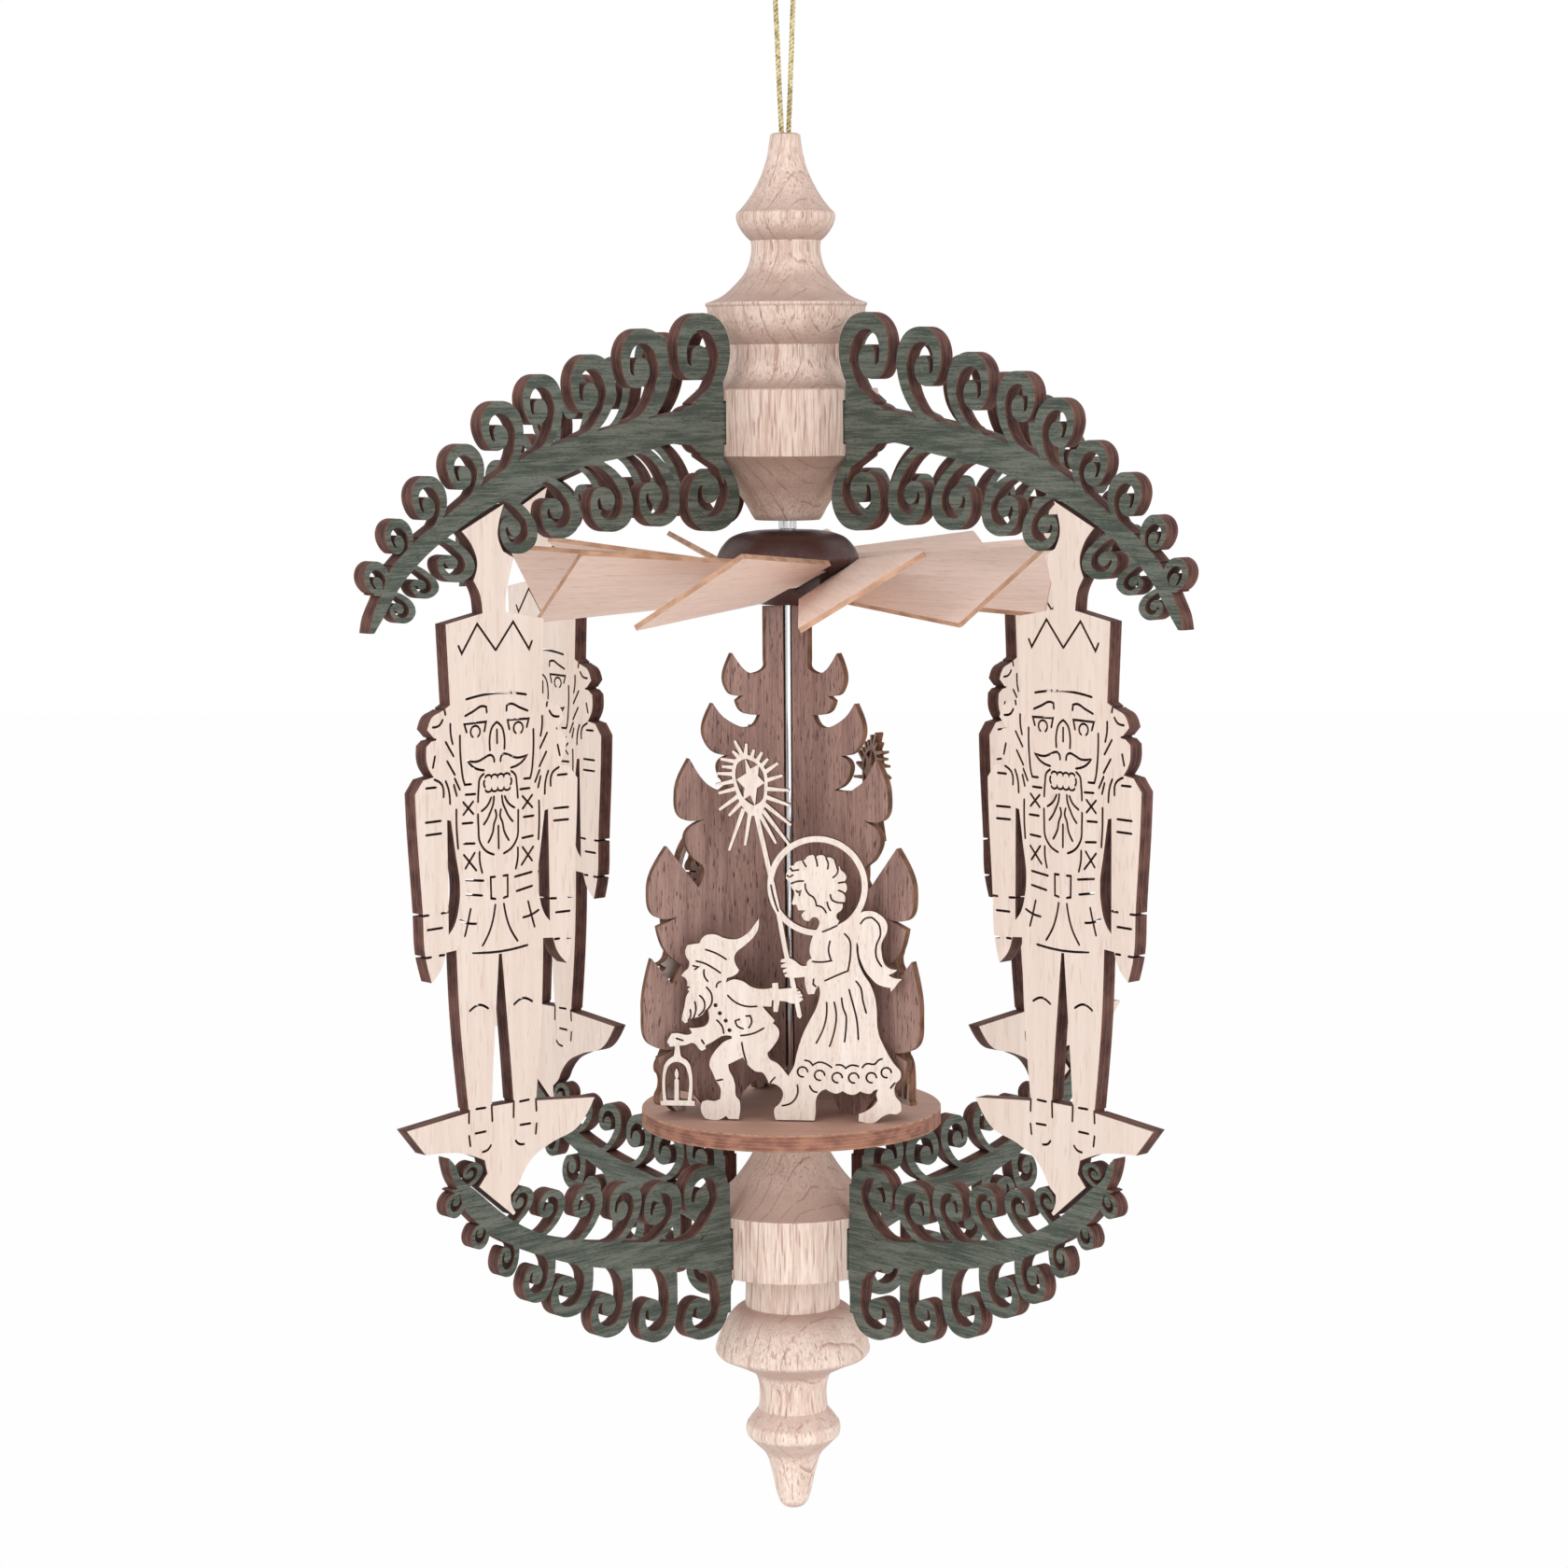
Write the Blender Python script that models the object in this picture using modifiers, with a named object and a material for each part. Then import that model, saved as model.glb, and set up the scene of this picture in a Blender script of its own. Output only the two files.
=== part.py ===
"""Hanging warm-air carousel: a cage of four nutcracker panels and a rotor with trees and figures.

Metres, +Z up. The origin is where the cord loop lies on its hook. The four side panels stand on
the diagonals, and the rotor turns about the Z axis.
"""

import math

import bmesh
import bpy
from mathutils import Matrix, Vector

MM = 0.001

# Driving dimensions of the cage
CORD_RISE = 40.0 * MM           # finial top to the loop's bearing point
REACH = 100.0 * MM              # axis to the outermost curl
PANEL_SPAN = 192.0 * MM         # lowest curl to highest curl of a side panel
PANEL_THICKNESS = 3.0 * MM
PANEL_COUNT = 4
FIRST_PANEL_DEG = 45.0
JOINT_GAP = 0.3 * MM            # between glued or seated faces
CUT_OVERRUN = 2.0 * MM          # how far a cutter runs past the face it cuts
TONGUE_DEPTH = 2.8 * MM
TONGUE_HEIGHT = 7.4 * MM

# Turned bodies; heights are measured from the middle of each drum band
UPPER_DRUM_RADIUS = 17.1 * MM
UPPER_BODY_HEIGHT = 71.65 * MM
UPPER_DRUM_LEVEL_SHARE = 0.895  # of the panel's span, above its lowest curl
LOWER_DRUM_RADIUS = 17.1 * MM
LOWER_BODY_HEIGHT = 74.75 * MM
LOWER_DRUM_LEVEL_SHARE = 0.0863
TURNING_STEPS = 28

# Bearings and axle
AXLE_RADIUS = 1.15 * MM
AXLE_POINT_RADIUS = 0.25 * MM
AXLE_POINT_LENGTH = 1.9 * MM
AXLE_IN_TUBE = 9.0 * MM
RUNNING_CLEARANCE = 0.15 * MM
TUBE_WALL = 0.4 * MM
TUBE_LENGTH = 11.0 * MM
CUP_RADIUS = 2.0 * MM
CUP_HEIGHT = 4.0 * MM
CUP_RECESS_DEPTH = 2.4 * MM
CUP_WALL = 0.5 * MM
CUP_FLOOR_GAP = 0.2 * MM

# Hub and blades
HUB_RADIUS = 13.4 * MM
HUB_HEIGHT = 13.8 * MM
HUB_CLEARANCE = 2.0 * MM        # hub top to the upper body
BLADE_COUNT = 10
FIRST_BLADE_DEG = -81.2
BLADE_REACH = 49.1 * MM
BLADE_TIP_WIDTH = 25.9 * MM
BLADE_THICKNESS = 1.0 * MM
BLADE_PITCH_DEG = 30.6

# Turntable and what stands on it
TURNTABLE_RADIUS = 28.6 * MM
TURNTABLE_THICKNESS = 3.2 * MM
TURNTABLE_CLEARANCE = 1.2 * MM  # above the lower body
TURNTABLE_STEPS = 56
STAGE_COUNT = 3
FIRST_TREE_DEG = 85.2
TREE_RADIUS = 30.4 * MM
TREE_THICKNESS = 1.6 * MM
FIGURES_THICKNESS = 1.6 * MM
FIGURES_HALF_WIDTH = 22.9 * MM
FIGURES_OFFSET = 15.0 * MM      # axis to the middle of a figure panel
FIGURES_HEIGHT_SHARE = 0.748    # of the tree's height
FULL_TURN_DEG = 360.0
QUARTER_TURN_DEG = FULL_TURN_DEG / 4

# Hanging cord
CORD_DIAMETER = 1.0 * MM
CORD_SIDE_STEPS = 3
KNOT_RADIUS = 1.7 * MM
KNOT_DEPTH = 13.7 * MM          # finial top to the shoulder that holds the knot
LOOP_RADIUS = 2.1 * MM
STRAND_SHARES = ((0.46, 0.82), (0.66, 0.55), (0.86, 0.3), (0.98, 0.14))  # of the loop's radius, the rise
BEND_STEPS = 2
KNOT_SEGMENTS = 12
KNOT_RINGS = 8
TINY = 0.001 * MM               # merging distance

# Places that follow from the sizes above
PANEL_INNER = LOWER_DRUM_RADIUS + JOINT_GAP
PANEL_WIDTH = REACH - PANEL_INNER
FINIAL_TOP = -CORD_RISE
UPPER_TOP_SHARE = 0.744
UPPER_BOTTOM_SHARE = -0.256
UPPER_DRUM_SHARE = 0.086        # half of the drum band
LOWER_TOP_SHARE = 0.2765
LOWER_BOTTOM_SHARE = -0.7235
LOWER_DRUM_SHARE = 0.0787
UPPER_MIDDLE = FINIAL_TOP - UPPER_TOP_SHARE * UPPER_BODY_HEIGHT
PANEL_LOW = UPPER_MIDDLE - UPPER_DRUM_LEVEL_SHARE * PANEL_SPAN
LOWER_MIDDLE = PANEL_LOW + LOWER_DRUM_LEVEL_SHARE * PANEL_SPAN
UPPER_BOTTOM = UPPER_MIDDLE + UPPER_BOTTOM_SHARE * UPPER_BODY_HEIGHT
LOWER_TOP = LOWER_MIDDLE + LOWER_TOP_SHARE * LOWER_BODY_HEIGHT
HUB_TOP = UPPER_BOTTOM - HUB_CLEARANCE
HUB_BOTTOM = HUB_TOP - HUB_HEIGHT
TUBE_BOTTOM = HUB_TOP + JOINT_GAP
TUBE_INNER = AXLE_RADIUS + RUNNING_CLEARANCE
TUBE_OUTER = TUBE_INNER + TUBE_WALL
BODY_BORE = TUBE_OUTER + JOINT_GAP
CORD_HOLE = CORD_DIAMETER + CORD_DIAMETER / 2
STRAND_OFFSET = (CORD_DIAMETER + JOINT_GAP) / 2
TURNTABLE_BOTTOM = LOWER_TOP + TURNTABLE_CLEARANCE
TURNTABLE_TOP = TURNTABLE_BOTTOM + TURNTABLE_THICKNESS
STAGE_BASE = TURNTABLE_TOP + JOINT_GAP
TREE_HEIGHT = HUB_BOTTOM - JOINT_GAP - STAGE_BASE
FIGURES_HEIGHT = FIGURES_HEIGHT_SHARE * TREE_HEIGHT
AXLE_BOTTOM = LOWER_TOP - CUP_RECESS_DEPTH + CUP_FLOOR_GAP
AXLE_TOP = TUBE_BOTTOM + AXLE_IN_TUBE
AXLE_BORE = AXLE_RADIUS + JOINT_GAP

# Turned profiles, top to bottom: (share of the drum's radius, share of the body's height)
UPPER_PROFILE_SHARES = (
    (0.164, UPPER_TOP_SHARE), (0.205, 0.679), (0.316, 0.611), (0.509, 0.545), (0.538, 0.531),
    (0.48, 0.498), (0.38, 0.468), (0.38, 0.44), (0.439, 0.391), (0.562, 0.355),
    (0.702, 0.326), (0.883, 0.308), (0.83, 0.297), (0.679, 0.246), (0.603, 0.196),
    (0.643, 0.143), (0.725, 0.101), (0.836, 0.09), (1, UPPER_DRUM_SHARE),
    (1, -UPPER_DRUM_SHARE), (0.83, -0.115), (0.544, -0.185), (0.363, UPPER_BOTTOM_SHARE),
)
LOWER_PROFILE_SHARES = (
    (0.321, LOWER_TOP_SHARE), (0.427, 0.216), (0.684, 0.133), (1, LOWER_DRUM_SHARE),
    (1, -LOWER_DRUM_SHARE), (0.556, -0.084), (0.53, -0.1), (0.526, -0.13), (0.532, -0.184),
    (0.62, -0.194), (0.708, -0.214), (0.872, -0.3), (0.831, -0.317), (0.55, -0.348),
    (0.433, -0.365), (0.38, -0.401), (0.392, -0.459), (0.527, -0.5), (0.521, -0.529),
    (0.327, -0.575), (0.181, -0.693), (0.105, -0.72), (0, LOWER_BOTTOM_SHARE),
)
HUB_PROFILE_SHARES = (
    (0.46, 1), (0.7, 0.95), (0.88, 0.83), (0.975, 0.7), (1, 0.6), (0.95, 0.52), (0.42, 0),
)

# Side panel outlines: (share of the panel's width, share of the panel's span)
UPPER_STEM_TOP_SHARES = (
    (0, 0.914), (0.173, 0.903), (0.331, 0.892), (0.462, 0.88), (0.568, 0.867), (0.676, 0.844),
    (0.777, 0.817), (0.867, 0.793), (0.934, 0.766), (0.953, 0.748), (0.978, 0.727), (0.984, 0.715),
)
UPPER_STEM_BOTTOM_SHARES = (
    (0, 0.863), (0.132, 0.876), (0.271, 0.866), (0.448, 0.853), (0.558, 0.838), (0.625, 0.829),
    (0.753, 0.803), (0.845, 0.778), (0.905, 0.754), (0.947, 0.729), (0.972, 0.715),
)
LOWER_STEM_TOP_SHARES = (
    (0, 0.098), (0.176, 0.107), (0.307, 0.116), (0.419, 0.125), (0.505, 0.135), (0.571, 0.146),
    (0.629, 0.16), (0.729, 0.195), (0.776, 0.213), (0.785, 0.222), (0.803, 0.231),
)
LOWER_STEM_BOTTOM_SHARES = (
    (0, 0.058), (0.126, 0.077), (0.25, 0.086), (0.376, 0.096), (0.48, 0.109), (0.582, 0.127),
    (0.669, 0.146), (0.738, 0.169), (0.764, 0.182), (0.778, 0.199), (0.792, 0.21), (0.803, 0.227),
)

# Curls, from the body outwards: (centre along, centre up, half width, half height, foot's shift)
UPPER_TOP_CURL_SHARES = (
    (0.058, 0.968, 0.08, 0.032, 0), (0.23, 0.957, 0.07, 0.028, 0), (0.378, 0.934, 0.064, 0.027, 0),
    (0.519, 0.92, 0.056, 0.023, 0), (0.631, 0.897, 0.057, 0.022, 0), (0.73, 0.861, 0.05, 0.02, 0),
    (0.826, 0.834, 0.046, 0.019, 0), (0.906, 0.801, 0.035, 0.015, 0),
    (0.965, 0.765, 0.031, 0.014, -0.2),
)
UPPER_BOTTOM_CURL_SHARES = (
    (0.032, 0.819, 0.079, 0.028, 0), (0.19, 0.82, 0.06, 0.022, 0), (0.327, 0.817, 0.062, 0.022, 0),
    (0.471, 0.811, 0.055, 0.02, 0), (0.587, 0.797, 0.052, 0.018, 0), (0.755, 0.77, 0.049, 0.014, 0),
    (0.838, 0.753, 0.036, 0.01, 0), (0.896, 0.733, 0.032, 0.011, 0),
)
LOWER_TOP_CURL_SHARES = (
    (0.072, 0.152, 0.068, 0.023, 0), (0.202, 0.147, 0.057, 0.021, 0), (0.312, 0.156, 0.048, 0.019, 0),
    (0.42, 0.164, 0.043, 0.016, 0), (0.522, 0.169, 0.037, 0.014, 0), (0.603, 0.18, 0.03, 0.011, -0.4),
    (0.738, 0.2145, 0.026, 0.0085, -0.4),
)
LOWER_BOTTOM_CURL_SHARES = (
    (0.078, 0.023, 0.068, 0.021, 0), (0.223, 0.033, 0.058, 0.022, 0), (0.359, 0.049, 0.06, 0.022, 0),
    (0.473, 0.076, 0.059, 0.02, 0), (0.565, 0.095, 0.043, 0.018, 0), (0.648, 0.122, 0.028, 0.014, 0),
    (0.723, 0.151, 0.024, 0.011, -0.25), (0.789, 0.185, 0.023, 0.011, -0.25),
)

# One curl on a unit ellipse, from its outer foot round the band, the blob and back inside
CURL_SHARES = (
    (-0.94, -0.34), (-0.77, 0.64), (0.17, 0.98), (0.94, 0.34), (0.77, -0.64), (0, -0.72),
    (-0.42, -0.1), (-0.15, 0.42), (0.3, 0.1), (0.1, 0.66), (-0.5, 0.45), (-0.66, -0.1),
)
FOOT_SHARES = ((-0.38, -1.1), (0.35, -1.1))
CURL_TILT_SHARE = 0.7           # of the stem's slope under the curl

# Nutcracker panel: half outline from the hat to the base bar, then the parts that differ by side
FIGURE_CENTRE_SHARE = 0.6555
NUTCRACKER_HALF_SHARES = (
    (0.132, 0.719), (0.124, 0.646), (0.146, 0.641), (0.172, 0.636), (0.185, 0.625),
    (0.167, 0.617), (0.188, 0.61), (0.186, 0.593), (0.17, 0.582), (0.198, 0.58), (0.22, 0.568),
    (0.218, 0.545), (0.205, 0.459), (0.2, 0.419), (0.185, 0.395), (0.157, 0.408),
    (0.146, 0.421), (0.118, 0.422), (0.113, 0.365), (0.092, 0.27), (0.257, 0.263), (0.209, 0.238),
)
NECK_SHARES = (
    (0.689, 0.727), (0.696, 0.745), (0.712, 0.757), (0.701, 0.772), (0.712, 0.787), (0.741, 0.802),
    (0.628, 0.825), (0.64, 0.811), (0.645, 0.797), (0.631, 0.782), (0.603, 0.776), (0.618, 0.755),
    (0.624, 0.745), (0.627, 0.727),
)
TAB_SHARES = (
    (0.758, 0.232), (0.707, 0.223), (0.7, 0.21), (0.723, 0.199), (0.631, 0.166), (0.625, 0.168),
    (0.636, 0.177), (0.637, 0.186), (0.616, 0.194), (0.604, 0.203), (0.577, 0.216), (0.525, 0.227),
)
ARM_SLIT_SHARES = (
    (0.137, 0.542), (0.138, 0.437), (0.127, 0.442), (0.108, 0.465), (0.106, 0.483),
    (0.115, 0.508), (0.127, 0.541),
)
LEG_SLIT_SHARES = ((0.004, 0.413), (0.013, 0.367), (0.023, 0.315), (0.03, 0.272))

# Half tree: (share of the tree's radius, share of its height)
TREE_TRUNK_SHARE = 0.046
TREE_SHARES = (
    (0.164, 1), (0.164, 0.881), (0.227, 0.869), (0.388, 0.91), (0.431, 0.846), (0.395, 0.829),
    (0.316, 0.826), (0.359, 0.816), (0.332, 0.797), (0.204, 0.786), (0.237, 0.768), (0.438, 0.782),
    (0.52, 0.813), (0.576, 0.747), (0.49, 0.713), (0.411, 0.709), (0.477, 0.697), (0.444, 0.655),
    (0.362, 0.64), (0.493, 0.642), (0.678, 0.706), (0.766, 0.64), (0.737, 0.591), (0.579, 0.585),
    (0.707, 0.557), (0.658, 0.509), (0.589, 0.489), (0.628, 0.45), (0.832, 0.535), (0.957, 0.451),
    (0.921, 0.4), (0.757, 0.395), (0.901, 0.377), (0.842, 0.326), (0.743, 0.299), (0.809, 0.262),
    (0.941, 0.315), (1, 0.21), (0.967, 0.148), (0.806, 0.13), (0.905, 0.117), (0.832, 0.058),
    (0.671, 0.038), (0.546, 0), (0.388, 0.004), (0.342, 0.031), (0.197, 0.064),
    (TREE_TRUNK_SHARE, 0.075), (TREE_TRUNK_SHARE, 1),
)

# Figure panel: (share of the half width, share of the height), clockwise from the cap's tail
GNOME_BACK_SHARES = (
    (-0.175, 0.533), (-0.197, 0.488), (-0.284, 0.461), (-0.354, 0.445), (-0.371, 0.422),
    (-0.341, 0.397), (-0.445, 0.375), (-0.38, 0.37), (-0.319, 0.366), (-0.266, 0.354),
    (-0.188, 0.345), (-0.066, 0.348), (-0.061, 0.361), (-0.013, 0.361), (-0.009, 0.349),
    (0.061, 0.352), (0.039, 0.391), (0.009, 0.4), (0.009, 0.42), (0.018, 0.43),
)
STAFF_LEFT_SHARES = ((-0.048, 0.52), (-0.107, 0.618), (-0.144, 0.685), (-0.214, 0.786))
STAFF_RIGHT_SHARES = ((-0.162, 0.789), (-0.092, 0.691))
STAR_CENTRE_SHARE = (-0.236, 0.893)
STAR_OVAL_SHARE = (0.131, 0.073)
RAY_TIP_SHARES = (
    (-0.288, 0.726), (-0.41, 0.713), (-0.489, 0.817), (-0.524, 0.886), (-0.463, 0.952),
    (-0.358, 1), (-0.266, 0.994), (-0.14, 0.971), (-0.009, 0.943), (0.074, 0.869),
    (0.087, 0.779), (0.044, 0.73),
)
HALO_CENTRE_SHARE = (0.306, 0.62)
HALO_OUTER_SHARE = (0.413, 0.132)
HALO_INNER_SHARE = (0.358, 0.115)
HALO_START_DEG = 150.0
HALO_END_DEG = -30.0
HALO_STEPS = 9
WING_SHARES = (
    (0.738, 0.554), (0.825, 0.543), (0.878, 0.501), (0.847, 0.471), (0.821, 0.447),
    (0.882, 0.408), (0.948, 0.401), (0.891, 0.387), (0.961, 0.369), (0.904, 0.345), (0.777, 0.363),
    (0.712, 0.389), (0.668, 0.417), (0.638, 0.453), (0.629, 0.485),
)
DRESS_SHARES = (
    (0.603, 0.481), (0.607, 0.435), (0.655, 0.393), (0.738, 0.351), (0.782, 0.292), (0.812, 0.218),
    (0.904, 0.162), (0.969, 0.124), (0.921, 0.086), (0.93, 0.065), (0.974, 0.037), (0.961, 0.023),
    (0.882, 0.02), (0.786, 0), (0.633, 0), (0.638, 0.019), (0.716, 0.02), (0.755, 0.034),
    (0.782, 0.072), (0.694, 0.073), (0.638, 0.08), (0.572, 0.071), (0.507, 0.079), (0.445, 0.071),
    (0.371, 0.083), (0.297, 0.072), (0.284, 0.055), (0.275, 0), (-0.057, 0), (-0.057, 0.022),
)
LEGS_SHARES = (
    (0.009, 0.041), (0.009, 0.068), (-0.048, 0.092), (-0.109, 0.101), (-0.17, 0.128),
    (-0.271, 0.146), (-0.31, 0.166), (-0.376, 0.159), (-0.432, 0.15), (-0.41, 0.124),
    (-0.38, 0.094), (-0.38, 0.045), (-0.349, 0.03), (-0.354, 0), (-0.651, 0), (-0.664, 0.019),
    (-0.642, 0.036), (-0.507, 0.038), (-0.485, 0.058), (-0.515, 0.097), (-0.59, 0.141),
    (-0.59, 0.159), (-0.541, 0.185), (-0.419, 0.218),
)
LANTERN_ARM_SHARES = (
    (-0.585, 0.202), (-0.629, 0.183), (-0.659, 0.183), (-0.712, 0.204), (-0.782, 0.197),
    (-0.83, 0.199), (-0.825, 0.17), (-0.769, 0.156), (-0.742, 0.134), (-0.738, 0.048),
    (-0.707, 0.047), (-0.707, 0.037), (-1, 0.037), (-1, 0.047), (-0.983, 0.048),
    (-0.978, 0.134), (-0.943, 0.156), (-0.886, 0.17), (-0.882, 0.195),
)
GNOME_FRONT_SHARES = (
    (-0.926, 0.198), (-0.921, 0.216), (-0.895, 0.226), (-0.755, 0.226), (-0.742, 0.241),
    (-0.616, 0.251), (-0.59, 0.29), (-0.677, 0.274), (-0.79, 0.257), (-0.817, 0.269),
    (-0.777, 0.311), (-0.76, 0.349), (-0.808, 0.377), (-0.764, 0.4), (-0.769, 0.424),
    (-0.777, 0.459), (-0.725, 0.461), (-0.659, 0.467), (-0.62, 0.485), (-0.568, 0.491),
    (-0.406, 0.484), (-0.297, 0.489), (-0.227, 0.506),
)
LANTERN_HOLE_SHARES = (
    (-0.948, 0.048), (-0.948, 0.129), (-0.913, 0.146), (-0.86, 0.152), (-0.808, 0.146),
    (-0.773, 0.129), (-0.769, 0.048), (-0.834, 0.048), (-0.838, 0.097), (-0.86, 0.121),
    (-0.882, 0.097), (-0.886, 0.048),
)
CHEST_HOLE_SHARES = (
    (0.258, 0.478), (0.249, 0.459), (0.262, 0.429), (0.223, 0.421), (0.105, 0.428), (0.07, 0.433),
    (0.02, 0.505), (0.096, 0.495), (0.183, 0.483),
)
BACK_HOLE_SHARES = (
    (0.122, 0.376), (0.188, 0.377), (0.214, 0.337), (0.258, 0.337), (0.275, 0.354), (0.306, 0.355),
    (0.301, 0.316), (0.231, 0.262), (0.157, 0.208), (0.114, 0.145), (0.083, 0.125), (0.004, 0.135),
    (-0.07, 0.156), (-0.109, 0.176), (-0.031, 0.205), (-0.017, 0.234), (-0.083, 0.258),
    (-0.061, 0.265), (-0.144, 0.297), (-0.07, 0.303), (-0.061, 0.288), (-0.026, 0.289),
    (-0.009, 0.317), (0.1, 0.313), (0.131, 0.274), (0.17, 0.274), (0.144, 0.323),
)
HEAD_SHARES = (
    (0.537, 0.531), (0.472, 0.543), (0.511, 0.568), (0.537, 0.607), (0.533, 0.646),
    (0.454, 0.688), (0.349, 0.701), (0.227, 0.698), (0.1, 0.676), (0.052, 0.646), (0.105, 0.615),
    (0.1, 0.593), (0.083, 0.573), (0.131, 0.565), (0.144, 0.545), (0.201, 0.53), (0.288, 0.537),
)
HALO_HOLE_START_DEG = -100.0
HALO_HOLE_END_DEG = -402.0
HALO_HOLE_STEPS = 13

# Blade outline: the root follows the hub's radius, the tongue goes into the hub's slot
ROOT_LOW_SHARE = (0.88, -0.554)
ROOT_HIGH_SHARE = (0.522, 0.485)
TONGUE_INNER_SHARE = 0.313
TONGUE_SIDE_SHARES = (-0.15, 0.3)
BLADE_SIDE_SHARE = 0.537        # how far the blade stands beside the axis
BLADE_LEVEL_SHARE = 0.355       # its middle's height on the hub


def remove_everything():
    """Empty the scene."""
    for obj in list(bpy.data.objects):
        bpy.data.objects.remove(obj)


def new_collection(name):
    """Return a new collection that hangs on the scene."""
    collection = bpy.data.collections.new(name)
    bpy.context.scene.collection.children.link(collection)
    return collection


def new_material(name, colour, roughness, metallic):
    """Return a Principled material of one colour."""
    material = bpy.data.materials.new(name)
    material.use_nodes = True
    shader = material.node_tree.nodes["Principled BSDF"]
    shader.inputs["Base Color"].default_value = (*colour, 1)
    shader.inputs["Roughness"].default_value = roughness
    shader.inputs["Metallic"].default_value = metallic
    return material


def new_object(name, data, collection, material=None):
    """Link an object with this data and material."""
    obj = bpy.data.objects.new(name, data)
    collection.objects.link(obj)
    if material is not None and not data.materials:
        data.materials.append(material)
    return obj


def along(points, where):
    """Height of a polyline at a place along it."""
    for (left, low), (right, high) in zip(points, points[1:]):
        if where <= right:
            return low + (high - low) * (where - left) / (right - left)
    return points[-1][1]


def beyond(points, spot):
    """The points of a stem edge that lie further out than a spot."""
    return [point for point in points if point[0] > spot[0]]


def scaled(shares, width, height, base=0):
    """Points at shares of a width and a height, the heights counted from a base."""
    return [(width * across, base + height * up) for across, up in shares]


def panel_points(shares):
    """Outline points of a side panel: (distance from the axis, height)."""
    return [(PANEL_INNER + PANEL_WIDTH * across, PANEL_LOW + PANEL_SPAN * up)
            for across, up in shares]


def sheet_mesh(name, loops, thickness):
    """Mesh of a flat sheet in the XY plane: the first loop is its outline, the rest are holes."""
    curve = bpy.data.curves.new(name, "CURVE")
    curve.dimensions = "2D"
    curve.fill_mode = "BOTH"
    curve.extrude = thickness / 2
    for loop in loops:
        spline = curve.splines.new("POLY")
        spline.points.add(len(loop) - 1)
        for point, (across, up) in zip(spline.points, loop):
            point.co = (across, up, 0, 1)
        spline.use_cyclic_u = True
    drawing = bpy.data.objects.new(name, curve)
    bpy.context.scene.collection.objects.link(drawing)
    graph = bpy.context.evaluated_depsgraph_get()
    mesh = bpy.data.meshes.new_from_object(drawing.evaluated_get(graph))
    bpy.data.objects.remove(drawing)
    bpy.data.curves.remove(curve)
    welded = bmesh.new()
    welded.from_mesh(mesh)
    bmesh.ops.remove_doubles(welded, verts=welded.verts, dist=TINY)
    bmesh.ops.recalc_face_normals(welded, faces=welded.faces)
    welded.to_mesh(mesh)
    welded.free()
    mesh.name = name
    return mesh


def stand_sheet(name, mesh, azimuth_deg, collection, material, offset=0):
    """Stand a sheet upright: its X runs outwards at the azimuth, its Y runs up."""
    obj = new_object(name, mesh, collection, material)
    azimuth = math.radians(azimuth_deg)
    side = Vector((math.sin(azimuth), -math.cos(azimuth), 0))
    obj.location = side * offset
    obj.rotation_euler = (math.radians(QUARTER_TURN_DEG), 0, azimuth)
    return obj


def turned(name, profile, steps, collection, material, closed=False):
    """Turn a profile of (radius, height) points about the Z axis."""
    mesh = bpy.data.meshes.new(name)
    verts = [(radius, 0, height) for radius, height in profile]
    edges = [(index, index + 1) for index in range(len(verts) - 1)]
    if closed:
        edges.append((len(verts) - 1, 0))
    mesh.from_pydata(verts, edges, [])
    obj = new_object(name, mesh, collection, material)
    screw = obj.modifiers.new("turning", "SCREW")
    screw.axis = "Z"
    screw.steps = steps
    screw.render_steps = steps
    screw.use_merge_vertices = True
    screw.merge_threshold = TINY
    screw.use_smooth_shade = True
    return obj


def box_cutter(name, size, centre, rotation, collection):
    """Add a hidden box that cuts a slot."""
    cube = bmesh.new()
    bmesh.ops.create_cube(cube, size=1, matrix=Matrix.Diagonal((*size, 1)))
    mesh = bpy.data.meshes.new(name)
    cube.to_mesh(mesh)
    cube.free()
    cutter = new_object(name, mesh, collection)
    cutter.location = centre
    cutter.rotation_euler = rotation
    cutter.display_type = "WIRE"
    cutter.hide_render = True
    return cutter


def cut(obj, cutter):
    """Take a cutter's volume out of an object."""
    boolean = obj.modifiers.new(cutter.name, "BOOLEAN")
    boolean.operation = "DIFFERENCE"
    boolean.object = cutter


def panel_azimuths():
    """Directions of the four side panels, with their place names."""
    names = ("back_right", "back_left", "front_left", "front_right")
    step = FULL_TURN_DEG / PANEL_COUNT
    return [(name, FIRST_PANEL_DEG + step * index) for index, name in enumerate(names)]


def cut_drum_slots(body, drum_radius, middle, cutters):
    """Cut the slots that take the branches' tongues."""
    depth = TONGUE_DEPTH + JOINT_GAP + CUT_OVERRUN
    centre_radius = drum_radius + CUT_OVERRUN - depth / 2
    size = (depth, PANEL_THICKNESS + 2 * JOINT_GAP, TONGUE_HEIGHT + 2 * JOINT_GAP)
    for name, azimuth_deg in panel_azimuths():
        azimuth = math.radians(azimuth_deg)
        centre = (centre_radius * math.cos(azimuth), centre_radius * math.sin(azimuth), middle)
        cutter = box_cutter(f"{body.name}_slot_{name}", size, centre, (0, 0, azimuth), cutters)
        cut(body, cutter)


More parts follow.
